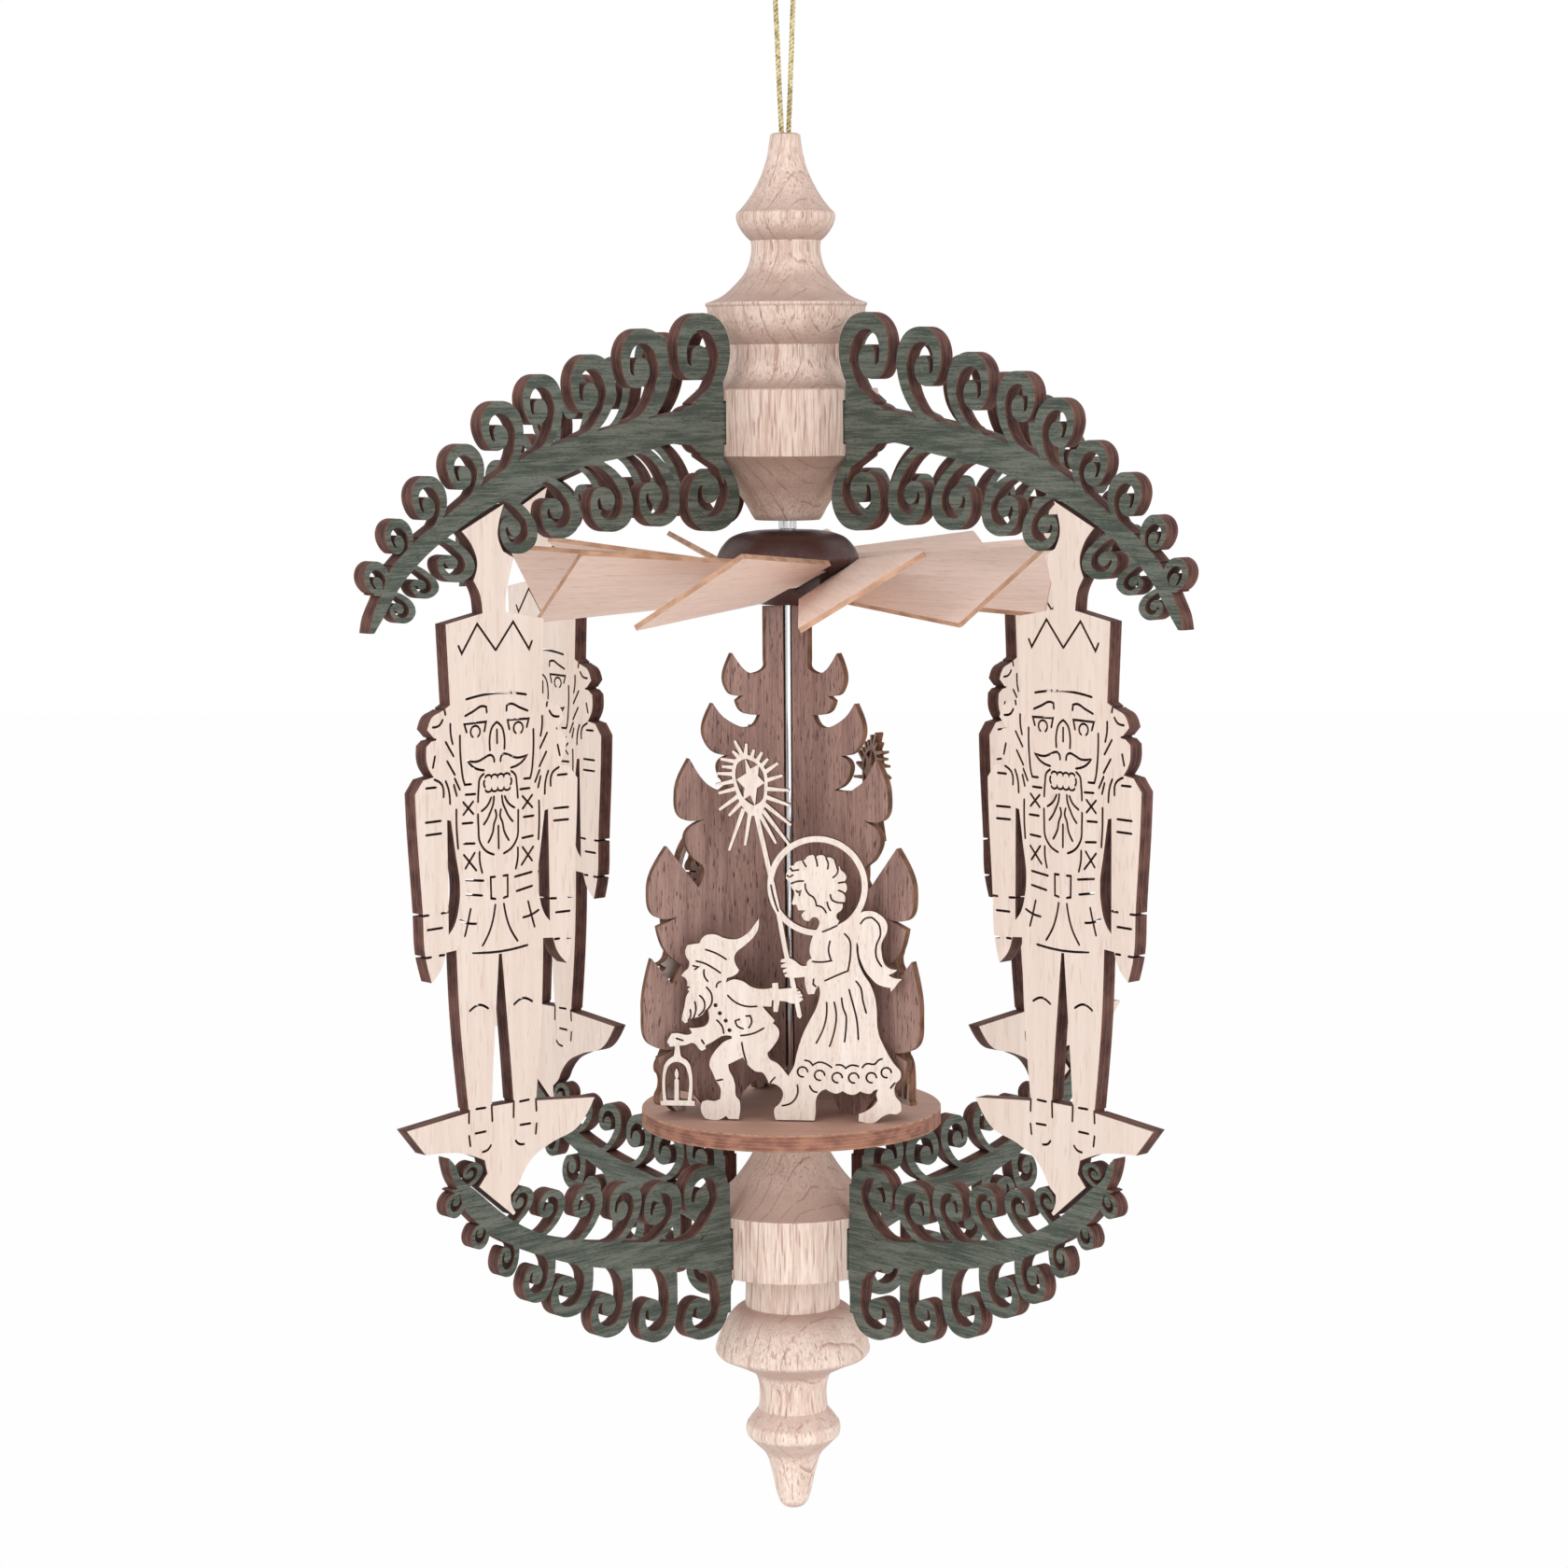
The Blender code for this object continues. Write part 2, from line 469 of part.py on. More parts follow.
def make_upper_body(parts, cutters, material):
    """Finial, brim and drum, bored through for the bearing tube and the cord."""
    profile = scaled(UPPER_PROFILE_SHARES, UPPER_DRUM_RADIUS, UPPER_BODY_HEIGHT, UPPER_MIDDLE)
    shoulder = FINIAL_TOP - KNOT_DEPTH
    profile += [(BODY_BORE, UPPER_BOTTOM), (BODY_BORE, shoulder),
                (CORD_HOLE, shoulder), (CORD_HOLE, FINIAL_TOP)]
    body = turned("upper_body", profile, TURNING_STEPS, parts, material, closed=True)
    cut_drum_slots(body, UPPER_DRUM_RADIUS, UPPER_MIDDLE, cutters)


def make_lower_body(parts, cutters, material):
    """Drum, foot and drop, with a blind bore for the bearing cup."""
    bore = CUP_RADIUS + JOINT_GAP
    floor = LOWER_TOP - CUP_HEIGHT - JOINT_GAP
    profile = [(0, floor), (bore, floor), (bore, LOWER_TOP)]
    profile += scaled(LOWER_PROFILE_SHARES, LOWER_DRUM_RADIUS, LOWER_BODY_HEIGHT, LOWER_MIDDLE)
    body = turned("lower_body", profile, TURNING_STEPS, parts, material)
    cut_drum_slots(body, LOWER_DRUM_RADIUS, LOWER_MIDDLE, cutters)


def make_bearings(parts, steel, brass):
    """The tube round the axle's top and the cup under its point."""
    top = TUBE_BOTTOM + TUBE_LENGTH
    ring = [(TUBE_OUTER, top), (TUBE_OUTER, TUBE_BOTTOM), (TUBE_INNER, TUBE_BOTTOM), (TUBE_INNER, top)]
    turned("upper_bearing_tube", ring, TURNING_STEPS, parts, steel, closed=True)
    recess_floor = LOWER_TOP - CUP_RECESS_DEPTH
    half_recess = (CUP_RADIUS - CUP_WALL) / 2
    cup = [(0, recess_floor), (half_recess, recess_floor + CUP_WALL), (CUP_RADIUS - CUP_WALL, LOWER_TOP),
           (CUP_RADIUS, LOWER_TOP), (CUP_RADIUS, LOWER_TOP - CUP_HEIGHT), (0, LOWER_TOP - CUP_HEIGHT)]
    turned("lower_bearing_cup", cup, TURNING_STEPS, parts, brass)


def curl_points(row, stem, side, on_drum):
    """One scroll curl on a stem edge, in walking order away from the body.

    side is 1 above the stem and -1 below it. The curl leans with the stem, and the one beside
    the drum grows from the branch's inner edge.
    """
    along_share, up_share, wide_share, high_share, shift = row
    (across, up), = panel_points([(along_share, up_share)])
    wide = PANEL_WIDTH * wide_share
    high = PANEL_SPAN * high_share
    rise = along(stem, across + wide) - along(stem, across - wide)
    turn = Matrix.Rotation(CURL_TILT_SHARE * math.atan2(rise, 2 * wide), 2)
    spots = (turn @ Vector((spot[0], side * spot[1])) for spot in CURL_SHARES)
    points = [(across + wide * spot.x, up + high * spot.y) for spot in spots]
    feet = [across + wide * (shift + (turn @ Vector((foot[0], side * foot[1]))).x)
            for foot in FOOT_SHARES]
    if not on_drum:
        points.insert(0, (feet[0], along(stem, feet[0])))
    points.append((feet[1], along(stem, feet[1])))
    return points


def branch_outline(drum_radius, middle, drum_half, stem_shares, curl_shares):
    """A branch with its tongue, its stem and the curls above and below the stem."""
    inner = drum_radius + JOINT_GAP
    tongue = drum_radius - TONGUE_DEPTH
    half = TONGUE_HEIGHT / 2
    stem_top, stem_bottom = (panel_points(shares) for shares in stem_shares)
    top_curls, bottom_curls = curl_shares
    outline = [(inner, middle - half), (tongue, middle - half), (tongue, middle + half),
               (inner, middle + half), (inner, middle + drum_half + JOINT_GAP)]
    for index, row in enumerate(top_curls):
        outline += curl_points(row, stem_top, 1, on_drum=index == 0)
    outline += beyond(stem_top, outline[-1])
    underside = []
    for index, row in enumerate(bottom_curls):
        underside += curl_points(row, stem_bottom, -1, on_drum=index == 0)
    underside += beyond(stem_bottom, underside[-1])
    outline += reversed(underside)
    outline.append((inner, stem_bottom[0][1]))
    return outline


def nutcracker_loops():
    """Outline and slits of a nutcracker with its neck and its tab."""
    right = [(FIGURE_CENTRE_SHARE + across, up) for across, up in NUTCRACKER_HALF_SHARES]
    left = [(FIGURE_CENTRE_SHARE - across, up) for across, up in reversed(NUTCRACKER_HALF_SHARES)]
    outline = panel_points(right + list(TAB_SHARES) + left) + panel_points(NECK_SHARES)[::-1]
    loops = [outline]
    for side in (-1, 1):
        slit = [(FIGURE_CENTRE_SHARE + side * across, up) for across, up in ARM_SLIT_SHARES]
        loops.append(panel_points(slit))
    legs = [(FIGURE_CENTRE_SHARE + across, up) for across, up in LEG_SLIT_SHARES]
    legs += [(FIGURE_CENTRE_SHARE - across, up) for across, up in reversed(LEG_SLIT_SHARES)]
    loops.append(panel_points(legs))
    return loops


def make_panels(parts, green, pale):
    """Four side panels, each an upper branch, a nutcracker and a lower branch."""
    upper = branch_outline(
        UPPER_DRUM_RADIUS, UPPER_MIDDLE, UPPER_DRUM_SHARE * UPPER_BODY_HEIGHT,
        (UPPER_STEM_TOP_SHARES, UPPER_STEM_BOTTOM_SHARES),
        (UPPER_TOP_CURL_SHARES, UPPER_BOTTOM_CURL_SHARES))
    lower = branch_outline(
        LOWER_DRUM_RADIUS, LOWER_MIDDLE, LOWER_DRUM_SHARE * LOWER_BODY_HEIGHT,
        (LOWER_STEM_TOP_SHARES, LOWER_STEM_BOTTOM_SHARES),
        (LOWER_TOP_CURL_SHARES, LOWER_BOTTOM_CURL_SHARES))
    sheets = (
        ("upper_branch", sheet_mesh("upper_branch", [upper], PANEL_THICKNESS), green),
        ("lower_branch", sheet_mesh("lower_branch", [lower], PANEL_THICKNESS), green),
        ("nutcracker", sheet_mesh("nutcracker", nutcracker_loops(), PANEL_THICKNESS), pale),
    )
    for place, azimuth_deg in panel_azimuths():
        for piece, mesh, material in sheets:
            stand_sheet(f"{piece}_{place}", mesh, azimuth_deg, parts, material)


def make_axle(rotor, parts, steel):
    """The rod with a flat top and a pointed lower end."""
    profile = [(0, AXLE_TOP), (AXLE_RADIUS, AXLE_TOP), (AXLE_RADIUS, AXLE_BOTTOM + AXLE_POINT_LENGTH),
               (AXLE_POINT_RADIUS, AXLE_BOTTOM), (0, AXLE_BOTTOM)]
    axle = turned("axle", profile, TURNING_STEPS, parts, steel)
    axle.parent = rotor


def blade_pose(azimuth_deg):
    """Location and rotation of a blade, or of the slot that takes it."""
    azimuth = math.radians(azimuth_deg)
    beside = BLADE_SIDE_SHARE * HUB_RADIUS
    level = HUB_BOTTOM + BLADE_LEVEL_SHARE * HUB_HEIGHT
    location = (-beside * math.sin(azimuth), beside * math.cos(azimuth), level)
    return location, (math.radians(BLADE_PITCH_DEG), 0, azimuth)


def blade_outline():
    """A blade that widens outwards, with a tongue at its root."""
    (low_across, low_side), (high_across, high_side) = (
        (HUB_RADIUS * across, HUB_RADIUS * side) for across, side in (ROOT_LOW_SHARE, ROOT_HIGH_SHARE))
    tongue = TONGUE_INNER_SHARE * HUB_RADIUS
    tongue_low, tongue_high = (HUB_RADIUS * share for share in TONGUE_SIDE_SHARES)
    slope = (high_across - low_across) / (high_side - low_side)
    root_at_low = low_across + slope * (tongue_low - low_side)
    root_at_high = low_across + slope * (tongue_high - low_side)
    half_tip = BLADE_TIP_WIDTH / 2
    return [(low_across, low_side), (BLADE_REACH, -half_tip), (BLADE_REACH, half_tip),
            (high_across, high_side), (root_at_high, tongue_high), (tongue, tongue_high),
            (tongue, tongue_low), (root_at_low, tongue_low)]


def make_fan(rotor, parts, cutters, dark, pale):
    """The hub and the blades that are let into it."""
    profile = scaled(HUB_PROFILE_SHARES, HUB_RADIUS, HUB_HEIGHT, HUB_BOTTOM)
    profile += [(AXLE_BORE, HUB_BOTTOM), (AXLE_BORE, HUB_TOP)]
    hub = turned("blade_hub", profile, TURNING_STEPS, parts, dark, closed=True)
    hub.parent = rotor
    mesh = sheet_mesh("blade", [blade_outline()], BLADE_THICKNESS)
    slot_inner = TONGUE_INNER_SHARE * HUB_RADIUS - JOINT_GAP
    slot_outer = HUB_RADIUS + CUT_OVERRUN
    slot_low, slot_high = (HUB_RADIUS * share for share in TONGUE_SIDE_SHARES)
    size = (slot_outer - slot_inner, slot_high - slot_low + 2 * JOINT_GAP,
            BLADE_THICKNESS + 2 * JOINT_GAP)
    shift = Vector(((slot_inner + slot_outer) / 2, (slot_low + slot_high) / 2, 0))
    for index in range(BLADE_COUNT):
        azimuth_deg = FIRST_BLADE_DEG + FULL_TURN_DEG / BLADE_COUNT * index
        location, rotation = blade_pose(azimuth_deg)
        blade = new_object(f"blade_{index + 1}", mesh, parts, pale)
        blade.location = location
        blade.rotation_euler = rotation
        blade.parent = rotor
        cutter = box_cutter(f"blade_slot_{index + 1}", size, location, rotation, cutters)
        cutter.data.transform(Matrix.Translation(shift))
        cut(hub, cutter)


def make_turntable(rotor, parts, material):
    """The round plate that carries the trees and figures."""
    profile = [(TURNTABLE_RADIUS, TURNTABLE_TOP), (TURNTABLE_RADIUS, TURNTABLE_BOTTOM),
               (AXLE_BORE, TURNTABLE_BOTTOM), (AXLE_BORE, TURNTABLE_TOP)]
    plate = turned("turntable", profile, TURNTABLE_STEPS, parts, material, closed=True)
    plate.parent = rotor


def oval_point(centre, radii, angle):
    """A point on an oval given in shares."""
    return (centre[0] + radii[0] * math.cos(angle), centre[1] + radii[1] * math.sin(angle))


def oval_arc(centre, radii, start_deg, end_deg, steps):
    """Points along an arc of an oval given in shares."""
    angles = (start_deg + (end_deg - start_deg) * step / steps for step in range(steps + 1))
    return [oval_point(centre, radii, math.radians(angle)) for angle in angles]


def star_points():
    """Rays round the staff's star, with a valley on the oval between each two tips."""
    points = []
    for tip, following in zip(RAY_TIP_SHARES, RAY_TIP_SHARES[1:]):
        middle = [(a + b) / 2 - c for a, b, c in zip(tip, following, STAR_CENTRE_SHARE)]
        angle = math.atan2(middle[1] / STAR_OVAL_SHARE[1], middle[0] / STAR_OVAL_SHARE[0])
        points += [tip, oval_point(STAR_CENTRE_SHARE, STAR_OVAL_SHARE, angle)]
    return points + [RAY_TIP_SHARES[-1]]


def figure_loops():
    """Outline and holes of a figure panel: a gnome with a lantern and an angel with a halo."""
    halo = oval_arc(HALO_CENTRE_SHARE, HALO_OUTER_SHARE, HALO_START_DEG, HALO_END_DEG, HALO_STEPS)
    outline = [*GNOME_BACK_SHARES, *STAFF_LEFT_SHARES, *star_points(), *STAFF_RIGHT_SHARES, *halo,
               *WING_SHARES, *DRESS_SHARES, *LEGS_SHARES, *LANTERN_ARM_SHARES, *GNOME_FRONT_SHARES]
    ring = oval_arc(HALO_CENTRE_SHARE, HALO_INNER_SHARE,
                    HALO_HOLE_START_DEG, HALO_HOLE_END_DEG, HALO_HOLE_STEPS)
    holes = (LANTERN_HOLE_SHARES, CHEST_HOLE_SHARES, BACK_HOLE_SHARES, [*ring, *HEAD_SHARES])
    return [scaled(loop, FIGURES_HALF_WIDTH, FIGURES_HEIGHT, STAGE_BASE) for loop in (outline, *holes)]


def make_stage(rotor, parts, walnut, pale):
    """Three half trees round the axle and a figure panel between each two."""
    tree = sheet_mesh("half_tree", [scaled(TREE_SHARES, TREE_RADIUS, TREE_HEIGHT, STAGE_BASE)],
                      TREE_THICKNESS)
    figures = sheet_mesh("figure_group", figure_loops(), FIGURES_THICKNESS)
    for index in range(STAGE_COUNT):
        azimuth_deg = FIRST_TREE_DEG + FULL_TURN_DEG / STAGE_COUNT * index
        piece = stand_sheet(f"half_tree_{index + 1}", tree, azimuth_deg, parts, walnut)
        piece.parent = rotor
        panel = stand_sheet(f"figure_group_{index + 1}", figures, azimuth_deg - QUARTER_TURN_DEG,
                            parts, pale, offset=FIGURES_OFFSET)
        panel.parent = rotor


def smooth_route(points, steps):
    """Points on a smooth curve that passes through the route's own points."""
    route = [Vector(point) for point in points]
    ends = [route[0] * 2 - route[1]] + route + [route[-1] * 2 - route[-2]]
    smooth = []
    for before, start, end, after in zip(ends, ends[1:], ends[2:], ends[3:]):
        for step in range(steps):
            t = step / steps
            smooth.append(start + (end - before) * t / 2
                          + (before * 2 - start * 5 + end * 4 - after) * t * t / 2
                          + (start * 3 - before - end * 3 + after) * t * t * t / 2)
    return smooth + [route[-1]]


def cord_route():
    """The loop's centre line: up from the knot, round the bearing point and down again."""
    top = CORD_DIAMETER / 2
    bend = top - LOOP_RADIUS
    knot = FINIAL_TOP - KNOT_DEPTH + JOINT_GAP
    strand = [(STRAND_OFFSET, knot), (STRAND_OFFSET, (knot + FINIAL_TOP) / 2),
              (STRAND_OFFSET, FINIAL_TOP)]
    strand += [(LOOP_RADIUS * across, FINIAL_TOP * up) for across, up in STRAND_SHARES]
    bends = (QUARTER_TURN_DEG * step / BEND_STEPS for step in range(BEND_STEPS))
    strand += [(LOOP_RADIUS * math.cos(math.radians(angle)),
                bend + LOOP_RADIUS * math.sin(math.radians(angle))) for angle in bends]
    left = [(-across, 0, up) for across, up in strand]
    right = [(across, 0, up) for across, up in reversed(strand)]
    return left + [(0, 0, top)] + right


def make_cord(parts, material):
    """The hanging loop and the knot inside the finial that holds both its ends."""
    curve = bpy.data.curves.new("hanging_cord", "CURVE")
    curve.dimensions = "3D"
    curve.bevel_depth = CORD_DIAMETER / 2
    curve.bevel_resolution = 2
    curve.use_fill_caps = True
    route = smooth_route(cord_route(), CORD_SIDE_STEPS)
    spline = curve.splines.new("POLY")
    spline.points.add(len(route) - 1)
    for point, place in zip(spline.points, route):
        point.co = (*place, 1)
    new_object("hanging_cord", curve, parts, material)
    ball = bmesh.new()
    bmesh.ops.create_uvsphere(ball, u_segments=KNOT_SEGMENTS, v_segments=KNOT_RINGS, radius=KNOT_RADIUS)
    mesh = bpy.data.meshes.new("cord_knot")
    ball.to_mesh(mesh)
    ball.free()
    mesh.shade_smooth()
    knot = new_object("cord_knot", mesh, parts, material)
    knot.location = (0, 0, FINIAL_TOP - KNOT_DEPTH - JOINT_GAP - KNOT_RADIUS)


def main():
    """Build the whole carousel."""
    remove_everything()
    parts = new_collection("hanging_carousel")
    cutters = new_collection("cutters")
    beech = new_material("beech", (0.72, 0.52, 0.42), 0.6, 0)
    pale = new_material("pale_ply", (0.82, 0.68, 0.56), 0.65, 0)
    green = new_material("green_stain", (0.16, 0.2, 0.15), 0.7, 0)
    walnut = new_material("walnut_ply", (0.27, 0.17, 0.14), 0.65, 0)
    dark = new_material("dark_turned_wood", (0.2, 0.08, 0.045), 0.45, 0)
    rosy = new_material("rosy_ply", (0.55, 0.33, 0.25), 0.55, 0)
    steel = new_material("polished_steel", (0.62, 0.62, 0.62), 0.2, 1)
    brass = new_material("brass", (0.72, 0.52, 0.22), 0.3, 1)
    gold = new_material("gold_cord", (0.75, 0.55, 0.22), 0.4, 0)
    rotor = new_object("rotor", None, parts)
    make_upper_body(parts, cutters, beech)
    make_lower_body(parts, cutters, beech)
    make_bearings(parts, steel, brass)
    make_panels(parts, green, pale)
    make_axle(rotor, parts, steel)
    make_fan(rotor, parts, cutters, dark, rosy)
    make_turntable(rotor, parts, rosy)
    make_stage(rotor, parts, walnut, pale)
    make_cord(parts, gold)


main()
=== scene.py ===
"""Looks of the hanging warm-air carousel: cut plywood, turned beech, metal and a gold cord.

Metres, +Z up. The origin is where the cord loop lies on its hook. A side panel stands on each
diagonal, and the rotor turns about the Z axis.
"""

import logging
import math
from dataclasses import dataclass, field
from enum import Enum
from typing import Iterable, Sequence

import bmesh
import bpy
import numpy as np
from mathutils import Matrix, Vector
from mathutils.geometry import delaunay_2d_cdt


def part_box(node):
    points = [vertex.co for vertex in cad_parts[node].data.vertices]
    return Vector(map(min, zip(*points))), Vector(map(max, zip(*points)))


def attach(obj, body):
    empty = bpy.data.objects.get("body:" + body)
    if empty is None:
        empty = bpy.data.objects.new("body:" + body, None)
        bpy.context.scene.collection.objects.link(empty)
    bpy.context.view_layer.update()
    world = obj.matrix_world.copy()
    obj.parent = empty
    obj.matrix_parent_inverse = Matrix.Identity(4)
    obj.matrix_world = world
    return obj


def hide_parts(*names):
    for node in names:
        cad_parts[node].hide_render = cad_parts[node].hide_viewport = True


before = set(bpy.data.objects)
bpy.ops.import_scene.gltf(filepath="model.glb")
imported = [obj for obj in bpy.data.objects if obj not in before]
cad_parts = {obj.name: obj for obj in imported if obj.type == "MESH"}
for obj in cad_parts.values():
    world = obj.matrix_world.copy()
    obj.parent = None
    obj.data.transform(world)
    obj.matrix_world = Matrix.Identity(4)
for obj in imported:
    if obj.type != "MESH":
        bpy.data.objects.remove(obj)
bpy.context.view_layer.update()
log = logging.getLogger("carousel")

Point = tuple[float, float]
Loop = list[Point]
Term = "Number | float"

MM = 0.001
FULL_TURN = 2 * math.pi
QUARTER_TURN = FULL_TURN / 4
WELD = 1e-7

# Least cosine between a direction and the normal of a face that looks along it
FACING = 0.99

# Turns above which the edge between two faces stays sharp
SHARP_ON_SHEETS = math.radians(38)
SHARP_ON_TURNINGS = math.radians(28)

# Sizes shared by several pieces, as the solids have them
FINIAL_TOP = -40.0 * MM
JOINT_GAP = 0.3 * MM
PANEL_INNER = 17.4 * MM
PANEL_WIDTH = 82.6 * MM
PANEL_LOW = -265.148 * MM
PANEL_SPAN = 192.0 * MM
PANEL_THICKNESS = 3.0 * MM
TONGUE_DEPTH = 2.8 * MM
TONGUE_HEIGHT = 7.4 * MM
UPPER_DRUM_RADIUS = 17.1 * MM
UPPER_BODY_HEIGHT = 71.65 * MM
UPPER_MIDDLE = -93.308 * MM
LOWER_DRUM_RADIUS = 17.1 * MM
LOWER_BODY_HEIGHT = 74.75 * MM
LOWER_MIDDLE = -248.578 * MM
AXLE_RADIUS = 1.15 * MM
KNOT_DEPTH = 13.7 * MM
STAGE_THICKNESS = 1.6 * MM
BLADE_THICKNESS = 1.0 * MM
TURNTABLE_THICKNESS = 3.2 * MM

# Directions of the side panels, in degrees
PLACES = {"back_right": 45.0, "back_left": 135.0, "front_left": 225.0, "front_right": 315.0}


class Body(Enum):
    """The two bodies that the pieces ride on."""

    CAGE = "cage"
    ROTOR = "rotor"


class Slot(Enum):
    """The record's material slots."""

    BEECH = "beech"
    PALE_PLY = "pale_ply"
    GREEN_STAIN = "green_stain"
    WALNUT_PLY = "walnut_ply"
    DARK_TURNED_WOOD = "dark_turned_wood"
    ROSY_PLY = "rosy_ply"
    STEEL = "steel"
    BRASS = "brass"
    GOLD_CORD = "gold_cord"


class Side(Enum):
    """Whether a curl grows above or below its stem."""

    ABOVE = 1
    BELOW = -1


def colour(code: str) -> tuple[float, float, float, float]:
    """Linear colour of an sRGB hex code.

    Args:
        code: six hex digits, red first.

    Returns:
        The colour with full alpha.
    """
    parts = (int(code[at:at + 2], 16) / 255 for at in (0, 2, 4))
    linear = [part / 12.92 if part <= 0.04045 else ((part + 0.055) / 1.055) ** 2.4 for part in parts]
    return (*linear, 1.0)


class Number:
    """A value socket that takes part in Python arithmetic."""

    def __init__(self, nodes: "Nodes", socket: bpy.types.NodeSocket) -> None:
        """Keep the socket and the tree that it stands in."""
        self.nodes = nodes
        self.socket = socket

    def __add__(self, other: Term) -> "Number":
        """Sum of two values."""
        return self.nodes.maths("ADD", self, other)

    def __radd__(self, other: float) -> "Number":
        """Sum with a plain number first."""
        return self.nodes.maths("ADD", other, self)

    def __sub__(self, other: Term) -> "Number":
        """Difference of two values."""
        return self.nodes.maths("SUBTRACT", self, other)

    def __rsub__(self, other: float) -> "Number":
        """Difference with a plain number first."""
        return self.nodes.maths("SUBTRACT", other, self)

    def __mul__(self, other: Term) -> "Number":
        """Product of two values."""
        return self.nodes.maths("MULTIPLY", self, other)

    def __rmul__(self, other: float) -> "Number":
        """Product with a plain number first."""
        return self.nodes.maths("MULTIPLY", other, self)

    def __truediv__(self, other: Term) -> "Number":
        """Quotient of two values."""
        return self.nodes.maths("DIVIDE", self, other)

    def __pow__(self, other: Term) -> "Number":
        """A value raised to a power."""
        return self.nodes.maths("POWER", self, other)

    def __abs__(self) -> "Number":
        """A value without its sign."""
        return self.nodes.maths("ABSOLUTE", self)


class Nodes:
    """A node tree, with one way to add its nodes."""

    def __init__(self, tree: bpy.types.NodeTree) -> None:
        """Work on an empty tree."""
        self.tree = tree

    def add(self, kind: str, settings: dict | None = None, values: dict | None = None) -> bpy.types.Node:
        """Add a node.

        Args:
            kind: the node's type.
            settings: the node's own properties, set first.
            values: numbers, colours or links for its inputs, by name or place.

        Returns:
            The new node.
        """
        node = self.tree.nodes.new(kind)
        for name, value in (settings or {}).items():
            setattr(node, name, value)
        for name, value in (values or {}).items():
            socket = node.inputs[name]
            if isinstance(value, Number):
                value = value.socket
            if isinstance(value, bpy.types.NodeSocket):
                self.tree.links.new(value, socket)
            else:
                socket.default_value = value
        return node

    def maths(self, operation: str, *terms: Term) -> Number:
        """Add a Math node on one or two terms."""
        node = self.add("ShaderNodeMath", {"operation": operation}, dict(enumerate(terms)))
        return Number(self, node.outputs["Value"])

    def step(self, low: float, high: float, value: Number) -> Number:
        """A smooth step from 0 at low to 1 at high."""
        node = self.add("ShaderNodeMapRange", {"interpolation_type": "SMOOTHSTEP"},
                        {"Value": value, "From Min": low, "From Max": high})
        return Number(self, node.outputs["Result"])

    def mix(self, factor: Term, first: object, second: object) -> bpy.types.NodeSocket:
        """Mix two colours by a factor."""
        node = self.add("ShaderNodeMix", {"data_type": "RGBA"})
        for index, value in ((0, factor), (6, first), (7, second)):
            value = value.socket if isinstance(value, Number) else value
            if isinstance(value, bpy.types.NodeSocket):
                self.tree.links.new(value, node.inputs[index])
            else:
                node.inputs[index].default_value = value
        return node.outputs[2]

    def stretched(self, vector: bpy.types.NodeSocket, scale: Sequence[float]) -> bpy.types.NodeSocket:
        """A vector with each axis scaled."""
        node = self.add("ShaderNodeMapping", {}, {"Vector": vector, "Scale": tuple(scale)})
        return node.outputs["Vector"]

    def noise(self, vector: bpy.types.NodeSocket, scale: Sequence[float], detail: float = 2.0,
              roughness: float = 0.55) -> Number:
        """Noise on a vector whose axes are scaled."""
        node = self.add("ShaderNodeTexNoise", {}, {
            "Vector": self.stretched(vector, scale), "Scale": 1.0, "Detail": detail,
            "Roughness": roughness})
        return Number(self, node.outputs["Fac"])

    def axes(self, vector: bpy.types.NodeSocket) -> tuple[Number, Number, Number]:
        """The three parts of a vector."""
        node = self.add("ShaderNodeSeparateXYZ", {}, {0: vector})
        return tuple(Number(self, socket) for socket in node.outputs)


class Recipe(Nodes):
    """A Geometry Nodes tree with named inputs and one geometry as its result."""

    def __init__(self, name: str, inputs: dict[str, str]) -> None:
        """Start the tree.

        Args:
            name: the tree's name.
            inputs: the kind of socket for each input's label.
        """
        super().__init__(bpy.data.node_groups.new(name, "GeometryNodeTree"))
        face = self.tree.interface
        face.new_socket("Geometry", in_out="OUTPUT", socket_type="NodeSocketGeometry")
        self.identifiers = {label: face.new_socket(label, in_out="INPUT",
                                                   socket_type=f"NodeSocket{kind}").identifier
                            for label, kind in inputs.items()}
        self.given = self.add("NodeGroupInput").outputs

    def number(self, label: str) -> Number:
        """A named input as a value."""
        return Number(self, self.given[label])

    def painted(self, geometry: bpy.types.NodeSocket, material: bpy.types.Material,
                **selection: bpy.types.NodeSocket) -> bpy.types.NodeSocket:
        """Geometry with a material, on all of it or on a selection."""
        return self.add("GeometryNodeSetMaterial", {}, {
            "Geometry": geometry, "Material": material, **selection}).outputs[0]

    def real(self, geometry: bpy.types.NodeSocket) -> bpy.types.NodeSocket:
        """Geometry without instances."""
        return self.add("GeometryNodeRealizeInstances", {}, {0: geometry}).outputs[0]

    def end(self, geometry: bpy.types.NodeSocket) -> "Recipe":
        """Close the tree with its result."""
        self.add("NodeGroupOutput", {}, {0: geometry})
        return self

    def run(self, host: bpy.types.Object, values: dict[str, object]) -> bpy.types.Mesh:
        """Run the tree on an object, which is then removed.

        Args:
            host: the object that takes the modifier.
            values: a value for each input's label.

        Returns:
            The plain mesh.
        """
        modifier = host.modifiers.new(self.tree.name, "NODES")
        modifier.node_group = self.tree
        for label, value in values.items():
            modifier[self.identifiers[label]] = value
        return evaluated_mesh(host)


